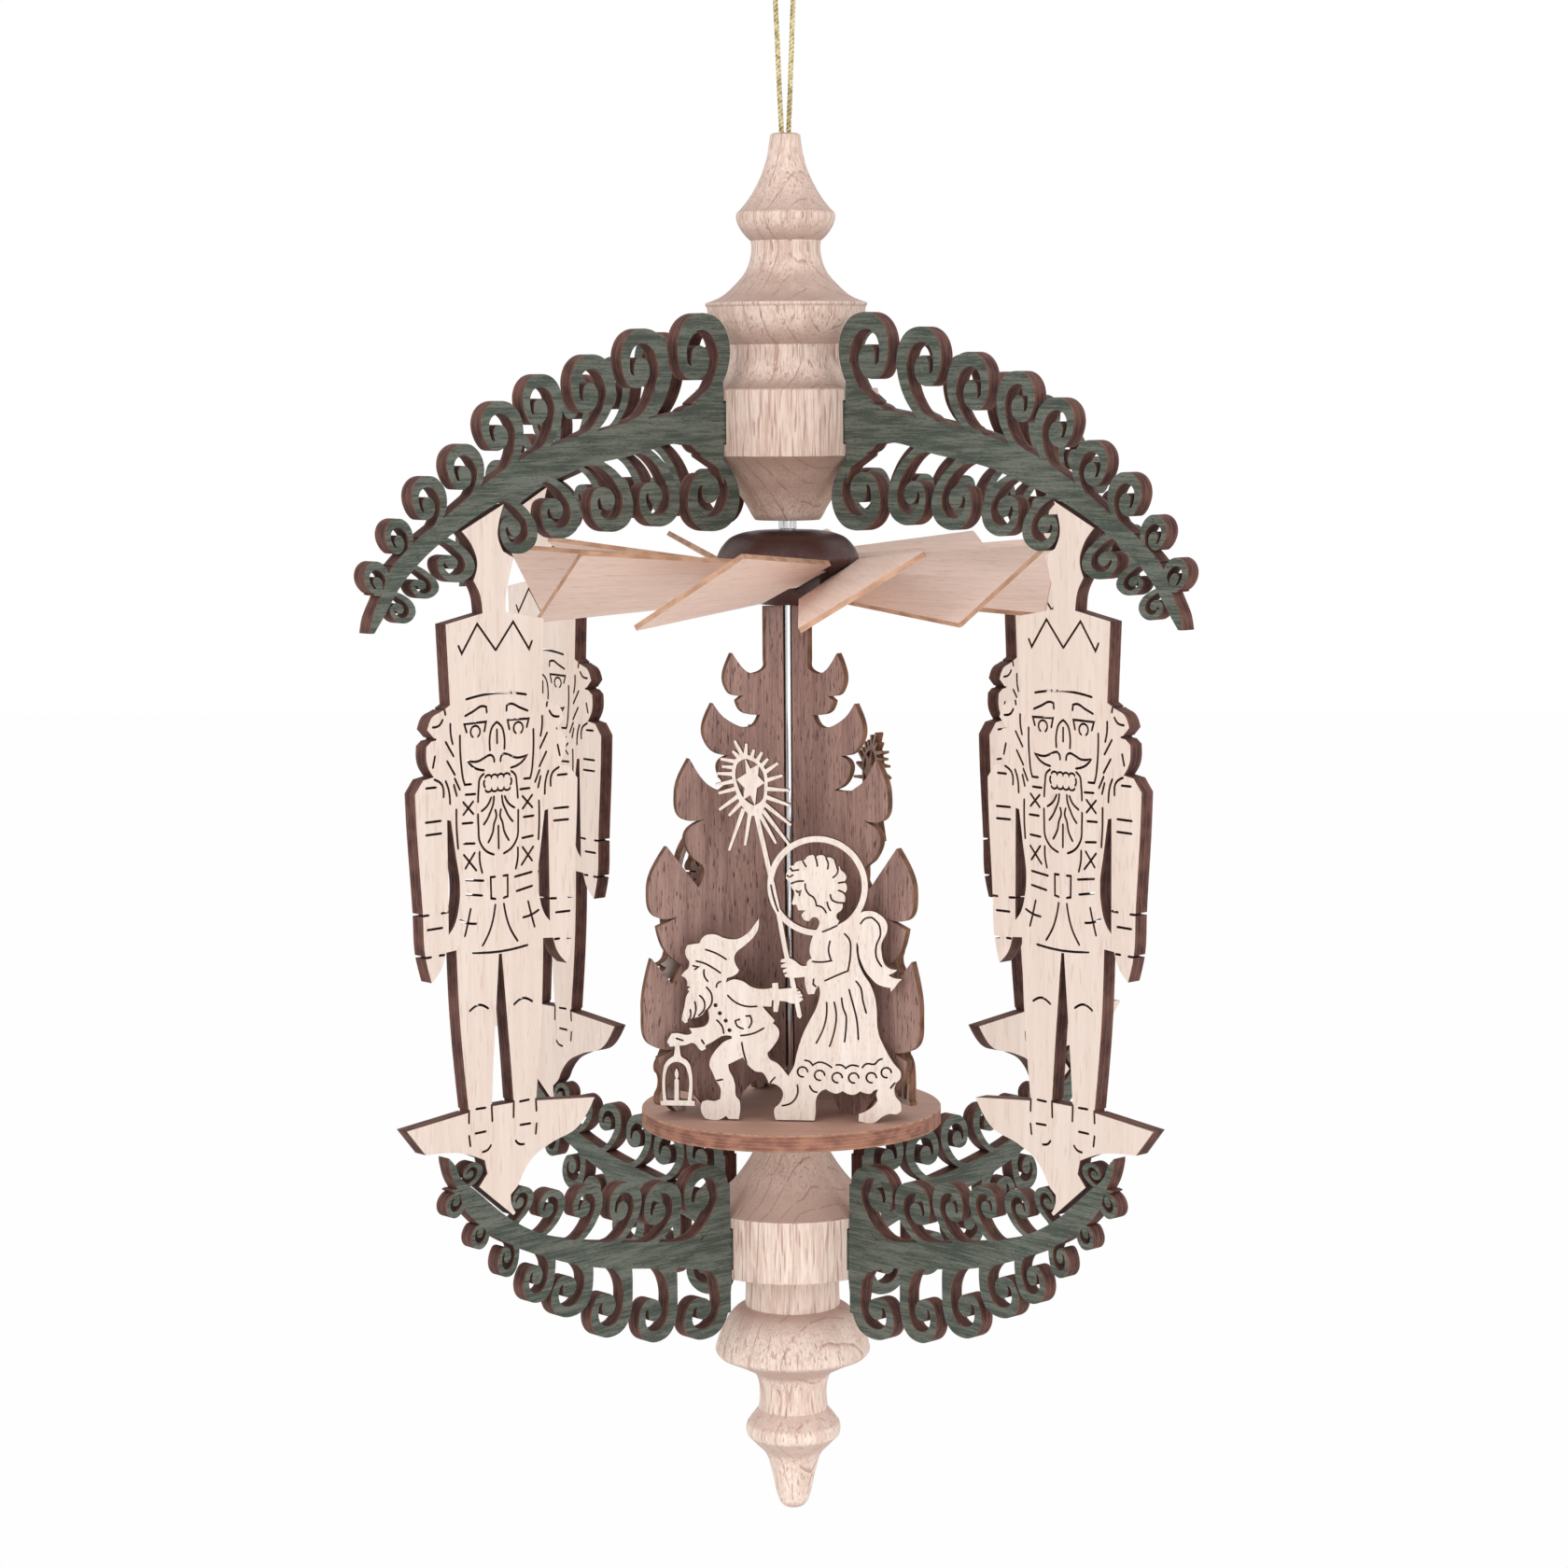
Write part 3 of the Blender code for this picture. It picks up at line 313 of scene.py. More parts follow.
class Surface(Nodes):
    """A material's node tree with its Principled shader."""

    def __init__(self, name: str) -> None:
        """Start a material with an empty Principled shader."""
        self.material = bpy.data.materials.new(name)
        self.material.use_nodes = True
        super().__init__(self.material.node_tree)
        self.shader = self.tree.nodes["Principled BSDF"]

    def grain(self) -> bpy.types.NodeSocket:
        """The sheet's own coordinates: across, up and through its thickness."""
        return self.add("ShaderNodeAttribute", {"attribute_name": "grain"}).outputs["Vector"]

    def place(self) -> bpy.types.NodeSocket:
        """Object coordinates."""
        return self.add("ShaderNodeTexCoord").outputs["Object"]

    def finish(self, base: object, roughness: Term, height: Number | None = None,
               depth: float = 0.0, metallic: float = 0.0, gloss: float = 0.5) -> bpy.types.Material:
        """Connect the shader.

        Args:
            base: colour, or the socket that gives it.
            roughness: roughness, or the value that gives it.
            height: what the bump follows, if anything.
            depth: the bump's height in metres.
            metallic: 1 for metal.
            gloss: the specular level.

        Returns:
            The finished material.
        """
        for name, value in (("Base Color", base), ("Roughness", roughness)):
            value = value.socket if isinstance(value, Number) else value
            if isinstance(value, bpy.types.NodeSocket):
                self.tree.links.new(value, self.shader.inputs[name])
            else:
                self.shader.inputs[name].default_value = value
        self.shader.inputs["Metallic"].default_value = metallic
        self.shader.inputs["Specular IOR Level"].default_value = gloss
        if height is not None:
            bump = self.add("ShaderNodeBump", {}, {"Height": height, "Distance": depth, "Strength": 1.0})
            self.tree.links.new(bump.outputs["Normal"], self.shader.inputs["Normal"])
        return self.material


@dataclass(frozen=True)
class PlyFace:
    """The face of a plywood sheet, with streaks and pores along its grain."""

    name: str
    light: str
    dark: str
    pore: str
    upright: bool = True
    streak: float = 0.9 * MM
    streak_length: float = 26 * MM
    contrast: float = 0.7
    pore_share: float = 0.3
    roughness: float = 0.62

    def build(self) -> bpy.types.Material:
        """Make the material."""
        surface = Surface(self.name)
        grain = surface.grain()

        def along(width: float, length: float, **extra: float) -> Number:
            """Noise of one width and length along the grain."""
            across, up = 1 / width, 1 / length
            scale = (across, up, across) if self.upright else (up, across, across)
            return surface.noise(grain, scale, **extra)

        broad = along(self.streak * 5, self.streak_length * 3, detail=2.0)
        streaks = along(self.streak, self.streak_length, detail=4.0, roughness=0.65)
        fibres = along(self.streak / 4, self.streak_length / 8, detail=2.0)
        tone = broad * 0.35 + streaks * 0.45 + fibres * 0.2
        shade = surface.step(0.5 - 0.16 / self.contrast, 0.5 + 0.16 / self.contrast, tone)
        base = surface.mix(shade, colour(self.dark), colour(self.light))
        pores = surface.step(0.62, 0.7, along(self.streak * 0.6, self.streak_length / 5, detail=1.0))
        base = surface.mix(pores * self.pore_share, base, colour(self.pore))
        relief = fibres * 0.7 - pores
        return surface.finish(base, self.roughness + 0.1 * fibres, relief, 0.04 * MM)


@dataclass(frozen=True)
class BurntEdge:
    """A laser-cut edge: scorched plies with lighter glue lines and arrises."""

    name: str
    thickness: float
    dark: str
    middle: str
    arris: str
    plies: int = 3

    def build(self) -> bpy.types.Material:
        """Make the material."""
        surface = Surface(self.name)
        grain = surface.grain()
        depth = surface.axes(grain)[2]
        rough = surface.noise(grain, (900, 900, 2600), detail=3.0)
        blotch = surface.noise(grain, (260, 260, 500), detail=2.0)
        level = depth / self.thickness + (rough - 0.5) * 0.08
        ply = abs(surface.maths("FRACT", level * self.plies + 0.5) - 0.5) * 2
        glue = surface.step(0.16, 0.04, ply)
        base = surface.mix(surface.step(0.35, 0.65, blotch), colour(self.dark), colour(self.middle))
        base = surface.mix(glue * 0.45, base, colour(self.arris))
        rim = surface.step(0.4, 0.485, abs(level)) * surface.step(0.3, 0.6, rough)
        base = surface.mix(rim * 0.75, base, colour(self.arris))
        return surface.finish(base, 0.75, rough, 0.06 * MM, gloss=0.3)


@dataclass(frozen=True)
class TurnedWood:
    """Lathe-turned wood: fine upright fibres, short dark dashes and thin broken growth lines."""

    name: str
    light: str
    dark: str
    slope_tone: str
    dash: str
    pith: Point = (46 * MM, -62 * MM)
    ring_width: float = 2.9 * MM
    dash_width: float = 0.42 * MM
    dash_length: float = 7 * MM
    roughness: float = 0.5

    def build(self) -> bpy.types.Material:
        """Make the material."""
        surface = Surface(self.name)
        place = surface.place()
        across, back, _ = surface.axes(place)
        warp = surface.noise(place, (90, 90, 14), detail=2.0) - 0.5
        far = surface.maths("SQRT", (across - self.pith[0]) ** 2 + (back - self.pith[1]) ** 2)
        part = surface.maths("FRACT", (far + warp * (5 * MM)) / self.ring_width)
        broken = surface.step(0.4, 0.5, surface.noise(place, (500, 500, 45), detail=1.0))
        ring = surface.step(0.88, 0.99, part) * broken
        fibre = surface.noise(place, (3200, 3200, 170), detail=3.0, roughness=0.75)
        mottle = surface.noise(place, (420, 420, 60), detail=2.0)
        shade = surface.step(0.4, 0.6, fibre * 0.7 + mottle * 0.3)
        base = surface.mix(shade, colour(self.light), colour(self.dark))
        facing = surface.add("ShaderNodeTexCoord").outputs["Normal"]
        slope = surface.step(0.25, 0.95, abs(surface.axes(facing)[2]))
        base = surface.mix(slope * 0.85, base, colour(self.slope_tone))
        scale = (1 / self.dash_width, 1 / self.dash_width, 1 / self.dash_length)
        dashes = surface.step(0.66, 0.73, surface.noise(place, scale, detail=0.0)) * (1 - slope * 0.9)
        base = surface.mix(ring * 0.55, base, colour(self.dash))
        base = surface.mix(dashes * 0.5, base, colour(self.dash))
        relief = fibre * 0.5 - ring * 0.5 - dashes
        return surface.finish(base, self.roughness + 0.15 * shade, relief, 0.04 * MM)


@dataclass(frozen=True)
class Metal:
    """Bare metal with fine lengthwise or turned scratches."""

    name: str
    tone: str
    scratch: Sequence[float]
    roughness: float

    def build(self) -> bpy.types.Material:
        """Make the material."""
        surface = Surface(self.name)
        scratches = surface.noise(surface.place(), self.scratch, detail=3.0)
        base = surface.mix(scratches * 0.3, colour(self.tone), colour("8d8d8d"))
        rough = self.roughness + 0.14 * scratches
        return surface.finish(base, rough, scratches, 0.01 * MM, metallic=1.0)


@dataclass(frozen=True)
class LurexThread:
    """Twisted metallic thread, its foil lighter and darker at random."""

    name: str
    light: str
    dark: str

    def build(self) -> bpy.types.Material:
        """Make the material."""
        surface = Surface(self.name)
        place = surface.place()
        foil = surface.noise(place, (1600, 1600, 900), detail=2.0)
        base = surface.mix(surface.step(0.35, 0.65, foil), colour(self.dark), colour(self.light))
        return surface.finish(base, 0.3 + 0.2 * foil, foil, 0.05 * MM, metallic=0.55)


@dataclass
class Finishes:
    """Every finish of the carousel, made once."""

    beech: bpy.types.Material = field(init=False)
    painted_shade_beech: bpy.types.Material = field(init=False)
    pale_face: bpy.types.Material = field(init=False)
    figure_face: bpy.types.Material = field(init=False)
    green_face: bpy.types.Material = field(init=False)
    walnut_face: bpy.types.Material = field(init=False)
    blade_face: bpy.types.Material = field(init=False)
    turntable_face: bpy.types.Material = field(init=False)
    panel_edge: bpy.types.Material = field(init=False)
    thin_edge: bpy.types.Material = field(init=False)
    blade_edge: bpy.types.Material = field(init=False)
    turntable_edge: bpy.types.Material = field(init=False)
    dark_wood: bpy.types.Material = field(init=False)
    steel: bpy.types.Material = field(init=False)
    brass: bpy.types.Material = field(init=False)
    gold: bpy.types.Material = field(init=False)

    def __post_init__(self) -> None:
        """Make the materials."""
        self.beech = TurnedWood("turned_beech", "ecd9cc", "d4b9aa", "b89a8e", "94604f").build()
        # A darker copy of the same beech for the upper body: its darker tones are painted shade, as that body
        # sits darker in the light than the lower one
        self.painted_shade_beech = TurnedWood("painted_shade_turned_beech", "dfcabd", "c4a798", "a5887c", "8b5948").build()
        self.dark_wood = TurnedWood("dark_turned_wood", "532d25", "3d1f1a", "3a1c17", "2a1310",
                                    roughness=0.38).build()
        self.pale_face = PlyFace("birch_face", "e5d5cb", "d9c5b7", "c3a28f").build()
        self.figure_face = PlyFace("thin_birch_face", "ebdfd6", "dac8bc", "ba9c89",
                                   streak=0.5 * MM, streak_length=9 * MM, contrast=0.9).build()
        self.green_face = PlyFace("green_stained_face", "62665c", "384137", "242b26", upright=False,
                                  streak=0.35 * MM, streak_length=6 * MM, contrast=2.2,
                                  pore_share=0.6).build()
        self.walnut_face = PlyFace("walnut_face", "a9877c", "80625a", "4a302a", streak=0.4 * MM,
                                   streak_length=12 * MM, contrast=1.2, pore_share=0.9).build()
        self.blade_face = PlyFace("blade_face", "f0d9cc", "e2c1b1", "c09280", upright=False,
                                  streak=0.5 * MM, streak_length=20 * MM).build()
        self.turntable_face = PlyFace("turntable_face", "bc9685", "ab8474", "916757", upright=False,
                                      streak=0.5 * MM, streak_length=14 * MM).build()
        self.panel_edge = BurntEdge("panel_edge", PANEL_THICKNESS, "422827", "61413a", "9a6a50").build()
        self.thin_edge = BurntEdge("thin_edge", STAGE_THICKNESS, "51352a", "7b5542", "b58a66").build()
        self.blade_edge = BurntEdge("blade_edge", BLADE_THICKNESS, "a97f67", "c39a80", "d6b090").build()
        self.turntable_edge = BurntEdge("turntable_edge", TURNTABLE_THICKNESS, "7e5347", "a0705c", "c9a083",
                                        plies=5).build()
        self.steel = Metal("polished_steel", "d8d9dc", (2600, 2600, 40), 0.13).build()
        self.brass = Metal("bright_brass", "c9a45c", (300, 300, 4000), 0.25).build()
        self.gold = LurexThread("gold_thread", "d8ca9c", "9c8a5c").build()


def rounded(points: Sequence[Point], closed: bool = True, corner: float = 58.0,
            step: float = 0.45 * MM) -> Loop:
    """Lead a smooth line through points and keep its sharp corners.

    Args:
        points: the line's own points.
        closed: whether it returns to its start.
        corner: turn in degrees above which a point stays a corner.
        step: the most that two points of the result lie apart.

    Returns:
        The points of the smooth line.
    """
    spots = [Vector(point) for point in points]
    count = len(spots)
    ways: list[Vector | None] = []
    for index, spot in enumerate(spots):
        inward = spot - spots[index - 1]
        outward = spots[(index + 1) % count] - spot
        is_end = not closed and index in (0, count - 1)
        if is_end or inward.angle(outward, 0) > math.radians(corner):
            ways.append(None)
        else:
            ways.append((inward.normalized() * outward.length + outward.normalized() * inward.length)
                        .normalized())
    line: Loop = []
    for index in range(count if closed else count - 1):
        start, end = spots[index], spots[(index + 1) % count]
        leave, reach = ways[index], ways[(index + 1) % count]
        chord = end - start
        steps = max(1, math.ceil(chord.length / step))
        if leave is None and reach is None:
            steps = 1
        reach_way = reach * chord.length if reach is not None else None
        leave_way = leave * chord.length if leave is not None else None
        if leave_way is None:
            leave_way = chord if reach_way is None else chord * 1.5 - reach_way / 2
        if reach_way is None:
            reach_way = chord * 1.5 - leave_way / 2
        for part in range(steps):
            t = part / steps
            bend = (start * (2 * t ** 3 - 3 * t * t + 1) + leave_way * (t ** 3 - 2 * t * t + t)
                    + end * (3 * t * t - 2 * t ** 3) + reach_way * (t ** 3 - t * t))
            line.append((bend.x, bend.y))
    if not closed:
        line.append(tuple(spots[-1]))
    return line


def stroke(points: Sequence[Point], width: float, smooth: bool = True) -> Loop:
    """The outline of a narrow cut that follows a line.

    Args:
        points: the line's own points.
        width: the cut's width.
        smooth: whether the line bends between its points.

    Returns:
        The cut's closed outline, with blunt round ends.
    """
    line = [Vector(point) for point in (rounded(points, closed=False, corner=50, step=0.6 * MM)
                                        if smooth else points)]
    half = width / 2
    left: Loop = []
    right: Loop = []
    for index, spot in enumerate(line):
        before = (spot - line[index - 1]).normalized() if index else None
        after = (line[index + 1] - spot).normalized() if index < len(line) - 1 else None
        way = ((before or after) + (after or before)).normalized()
        spread = half / max(0.45, way.dot(after or before))
        normal = Vector((-way.y, way.x)) * spread
        left.append(tuple(spot + normal))
        right.append(tuple(spot - normal))
    first = (line[0] - line[1]).normalized() * half
    last = (line[-1] - line[-2]).normalized() * half
    return [tuple(line[0] + first), *left, tuple(line[-1] + last), *reversed(right)]


def arc(centre: Point, radius: float | Point, start: float, end: float, steps: int = 12) -> Loop:
    """Points along an arc or an oval arc.

    Args:
        centre: its middle.
        radius: its radius, or its two half axes.
        start: first angle in degrees.
        end: last angle in degrees.
        steps: how many parts it has.

    Returns:
        The arc's points.
    """
    wide, high = radius if isinstance(radius, tuple) else (radius, radius)
    angles = (math.radians(start + (end - start) * step / steps) for step in range(steps + 1))
    return [(centre[0] + wide * math.cos(angle), centre[1] + high * math.sin(angle)) for angle in angles]


def band(centre: Point, radius: float, width: float, start: float, end: float) -> Loop:
    """The outline of a flat band that follows an arc, inside its radius."""
    return [*arc(centre, radius, start, end, 48), *arc(centre, radius - width, end, start, 48)]


def taper(base: Point, tip: Point, base_width: float, tip_width: float) -> Loop:
    """The outline of a straight ray that narrows to its tip."""
    start, end = Vector(base), Vector(tip)
    way = (end - start).normalized()
    normal = Vector((-way.y, way.x))
    return [tuple(start + normal * base_width / 2), tuple(end + normal * tip_width / 2),
            tuple(end - normal * tip_width / 2), tuple(start - normal * base_width / 2)]


def inside(spots: np.ndarray, loop: Loop) -> np.ndarray:
    """Tell which points lie inside a closed line.

    Args:
        spots: the points, one a row.
        loop: the closed line.

    Returns:
        One truth value for each point.
    """
    found = np.zeros(len(spots), dtype=bool)
    across, up = spots[:, 0], spots[:, 1]
    for (x1, y1), (x2, y2) in zip(loop, loop[1:] + loop[:1]):
        if y1 != y2:
            crossing = (y1 > up) != (y2 > up)
            found ^= crossing & (across < x1 + (up - y1) * (x2 - x1) / (y2 - y1))
    return found


@dataclass
class CutSheet:
    """A flat sheet cut to shape: solids are joined, holes cut through them, islands left in holes."""

    name: str
    thickness: float
    solids: list[Loop]
    holes: list[Loop] = field(default_factory=list)
    islands: list[Loop] = field(default_factory=list)

    def triangles(self) -> tuple[list[Vector], list[tuple[int, int, int]]]:
        """Fill the outline.

        Returns:
            The flat points and the triangles that the sheet covers, turning left.
        """
        spots: list[Vector] = []
        edges: list[tuple[int, int]] = []
        for loop in self.solids + self.holes + self.islands:
            base = len(spots)
            spots += [Vector(point) for point in loop]
            edges += [(base + index, base + (index + 1) % len(loop)) for index in range(len(loop))]
        verts, _, faces, *_ = delaunay_2d_cdt(spots, edges, [], 0, WELD, False)
        flat = np.array([tuple(vert) for vert in verts])
        centres = flat[np.array(faces)].mean(axis=1)
        kept = np.zeros(len(faces), dtype=bool)
        for loop in self.solids:
            kept |= inside(centres, loop)
        for loop in self.holes:
            kept &= ~inside(centres, loop)
        for loop in self.islands:
            kept |= inside(centres, loop)
        return verts, [tuple(face) for face, keep in zip(faces, kept) if keep]

    def mesh(self, face: bpy.types.Material, edge: bpy.types.Material) -> bpy.types.Mesh:
        """Make the sheet in its own plane, X across, Y up and Z through it.

        Args:
            face: the material of both faces.
            edge: the material of the cut edges.

        Returns:
            The closed mesh, with its flat coordinates kept as grain.
        """
        verts, triangles = self.triangles()
        used = sorted({index for triangle in triangles for index in triangle})
        place = {index: order for order, index in enumerate(used)}
        half = self.thickness / 2
        count = len(used)
        points = [(verts[index].x, verts[index].y, half) for index in used]
        points += [(across, up, -half) for across, up, _ in points]
        near = [tuple(place[index] for index in triangle) for triangle in triangles]
        far = [tuple(index + count for index in reversed(triangle)) for triangle in near]
        rim = {(a, b) for triangle in near for a, b in zip(triangle, triangle[1:] + triangle[:1])}
        walls = [(b, a, a + count, b + count) for a, b in sorted(rim) if (b, a) not in rim]
        mesh = bpy.data.meshes.new(self.name)
        mesh.from_pydata(points, [], near + far + walls)
        mesh.materials.append(face)
        mesh.materials.append(edge)
        mesh.polygons.foreach_set("material_index", [0] * (2 * len(near)) + [1] * len(walls))
        mesh.polygons.foreach_set("use_smooth", [True] * len(mesh.polygons))
        grain = mesh.attributes.new("grain", "FLOAT_VECTOR", "POINT")
        grain.data.foreach_set("vector", [value for point in points for value in point])
        mesh.set_sharp_from_angle(angle=SHARP_ON_SHEETS)
        return mesh


def stand(azimuth: float, offset: float = 0.0) -> Matrix:
    """Placing of an upright sheet: its X runs outwards, its Y up and its Z to its side.

    Args:
        azimuth: the outward direction in degrees.
        offset: how far the sheet stands beside the axis.

    Returns:
        The matrix from the sheet's plane to the frame.
    """
    angle = math.radians(azimuth)
    outward = Vector((math.cos(angle), math.sin(angle), 0))
    side = Vector((math.sin(angle), -math.cos(angle), 0))
    matrix = Matrix.Identity(4)
    for column, axis in enumerate((outward, Vector((0, 0, 1)), side, side * offset)):
        for row in range(3):
            matrix[row][column] = axis[row]
    return matrix


def deliver(name: str, mesh: bpy.types.Mesh, body: Body, nodes: Iterable[str],
            matrix: Matrix | None = None) -> bpy.types.Object:
    """Add a finished piece to the scene.

    Args:
        name: the piece's name.
        mesh: its mesh, which stays as it is where a matrix places a copy.
        body: the body that it rides on.
        nodes: the solids that it stands for.
        matrix: where its mesh goes.

    Returns:
        The piece.
    """
    if matrix is not None:
        mesh = mesh.copy()
        mesh.transform(matrix)
    mesh.name = name
    piece = bpy.data.objects.new(name, mesh)
    bpy.context.scene.collection.objects.link(piece)
    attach(piece, body.value)
    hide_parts(*nodes)
    log.info("%s: %d faces on %s", name, len(mesh.polygons), body.value)
    return piece


def evaluated_mesh(piece: bpy.types.Object) -> bpy.types.Mesh:
    """The plain mesh of an object with its modifiers, which is then removed."""
    graph = bpy.context.evaluated_depsgraph_get()
    mesh = bpy.data.meshes.new_from_object(piece.evaluated_get(graph))
    bpy.data.objects.remove(piece)
    return mesh


def temporary(mesh: bpy.types.Mesh) -> bpy.types.Object:
    """An object that is only there while a mesh is worked on."""
    piece = bpy.data.objects.new("work", mesh)
    bpy.context.scene.collection.objects.link(piece)
    return piece


def turned(name: str, profile: Loop, material: bpy.types.Material, steps: int = 112,
           closed: bool = False) -> bpy.types.Mesh:
    """Turn a profile about the Z axis.

    Args:
        name: the mesh's name.
        profile: (radius, height) points.
        material: its material.
        steps: how many faces go round.
        closed: whether the profile returns to its start, as on a bored piece.

    Returns:
        The closed mesh.
    """
    shape = bmesh.new()
    angles = [FULL_TURN * step / steps for step in range(steps)]
    turns = [(math.cos(angle), math.sin(angle)) for angle in angles]
    rings = []
    for radius, height in profile:
        spots = turns if radius > WELD else [(0, 0)]
        rings.append([shape.verts.new((radius * x, radius * y, height)) for x, y in spots])
    following = rings[1:] + rings[:1] if closed else rings[1:]
    for upper, lower in zip(rings, following):
        for step in range(steps):
            corners = []
            for ring, at in ((upper, step), (upper, step + 1), (lower, step + 1), (lower, step)):
                vert = ring[at % len(ring)]
                if vert not in corners:
                    corners.append(vert)
            if len(corners) > 2:
                shape.faces.new(corners)
    bmesh.ops.recalc_face_normals(shape, faces=shape.faces)
    mesh = bpy.data.meshes.new(name)
    shape.to_mesh(mesh)
    shape.free()
    mesh.shade_smooth()
    mesh.set_sharp_from_angle(angle=SHARP_ON_TURNINGS)
    mesh.materials.append(material)
    return mesh


def boxes(sizes: Sequence[float], matrices: Iterable[Matrix]) -> bpy.types.Mesh:
    """Equal boxes at several places, as one mesh."""
    shape = bmesh.new()
    for matrix in matrices:
        bmesh.ops.create_cube(shape, size=1, matrix=matrix @ Matrix.Diagonal((*sizes, 1)))
    mesh = bpy.data.meshes.new("boxes")
    shape.to_mesh(mesh)
    shape.free()
    return mesh


def cut_out(mesh: bpy.types.Mesh, cutter: bpy.types.Mesh) -> bpy.types.Mesh:
    """A mesh with the cutter's volume taken out of it."""
    work = temporary(mesh)
    tool = temporary(cutter)
    boolean = work.modifiers.new("slots", "BOOLEAN")
    boolean.operation = "DIFFERENCE"
    boolean.object = tool
    result = evaluated_mesh(work)
    bpy.data.objects.remove(tool)
    result.set_sharp_from_angle(angle=SHARP_ON_TURNINGS)
    return result


def scaled(shares: Sequence[Point], width: float, height: float, base: float = 0.0) -> Loop:
    """Points at shares of a width and a height."""
    return [(width * across, base + height * up) for across, up in shares]


def panel_points(shares: Sequence[Point]) -> Loop:
    """Side panel points from shares of its width and span."""
    return [(PANEL_INNER + PANEL_WIDTH * across, PANEL_LOW + PANEL_SPAN * up) for across, up in shares]


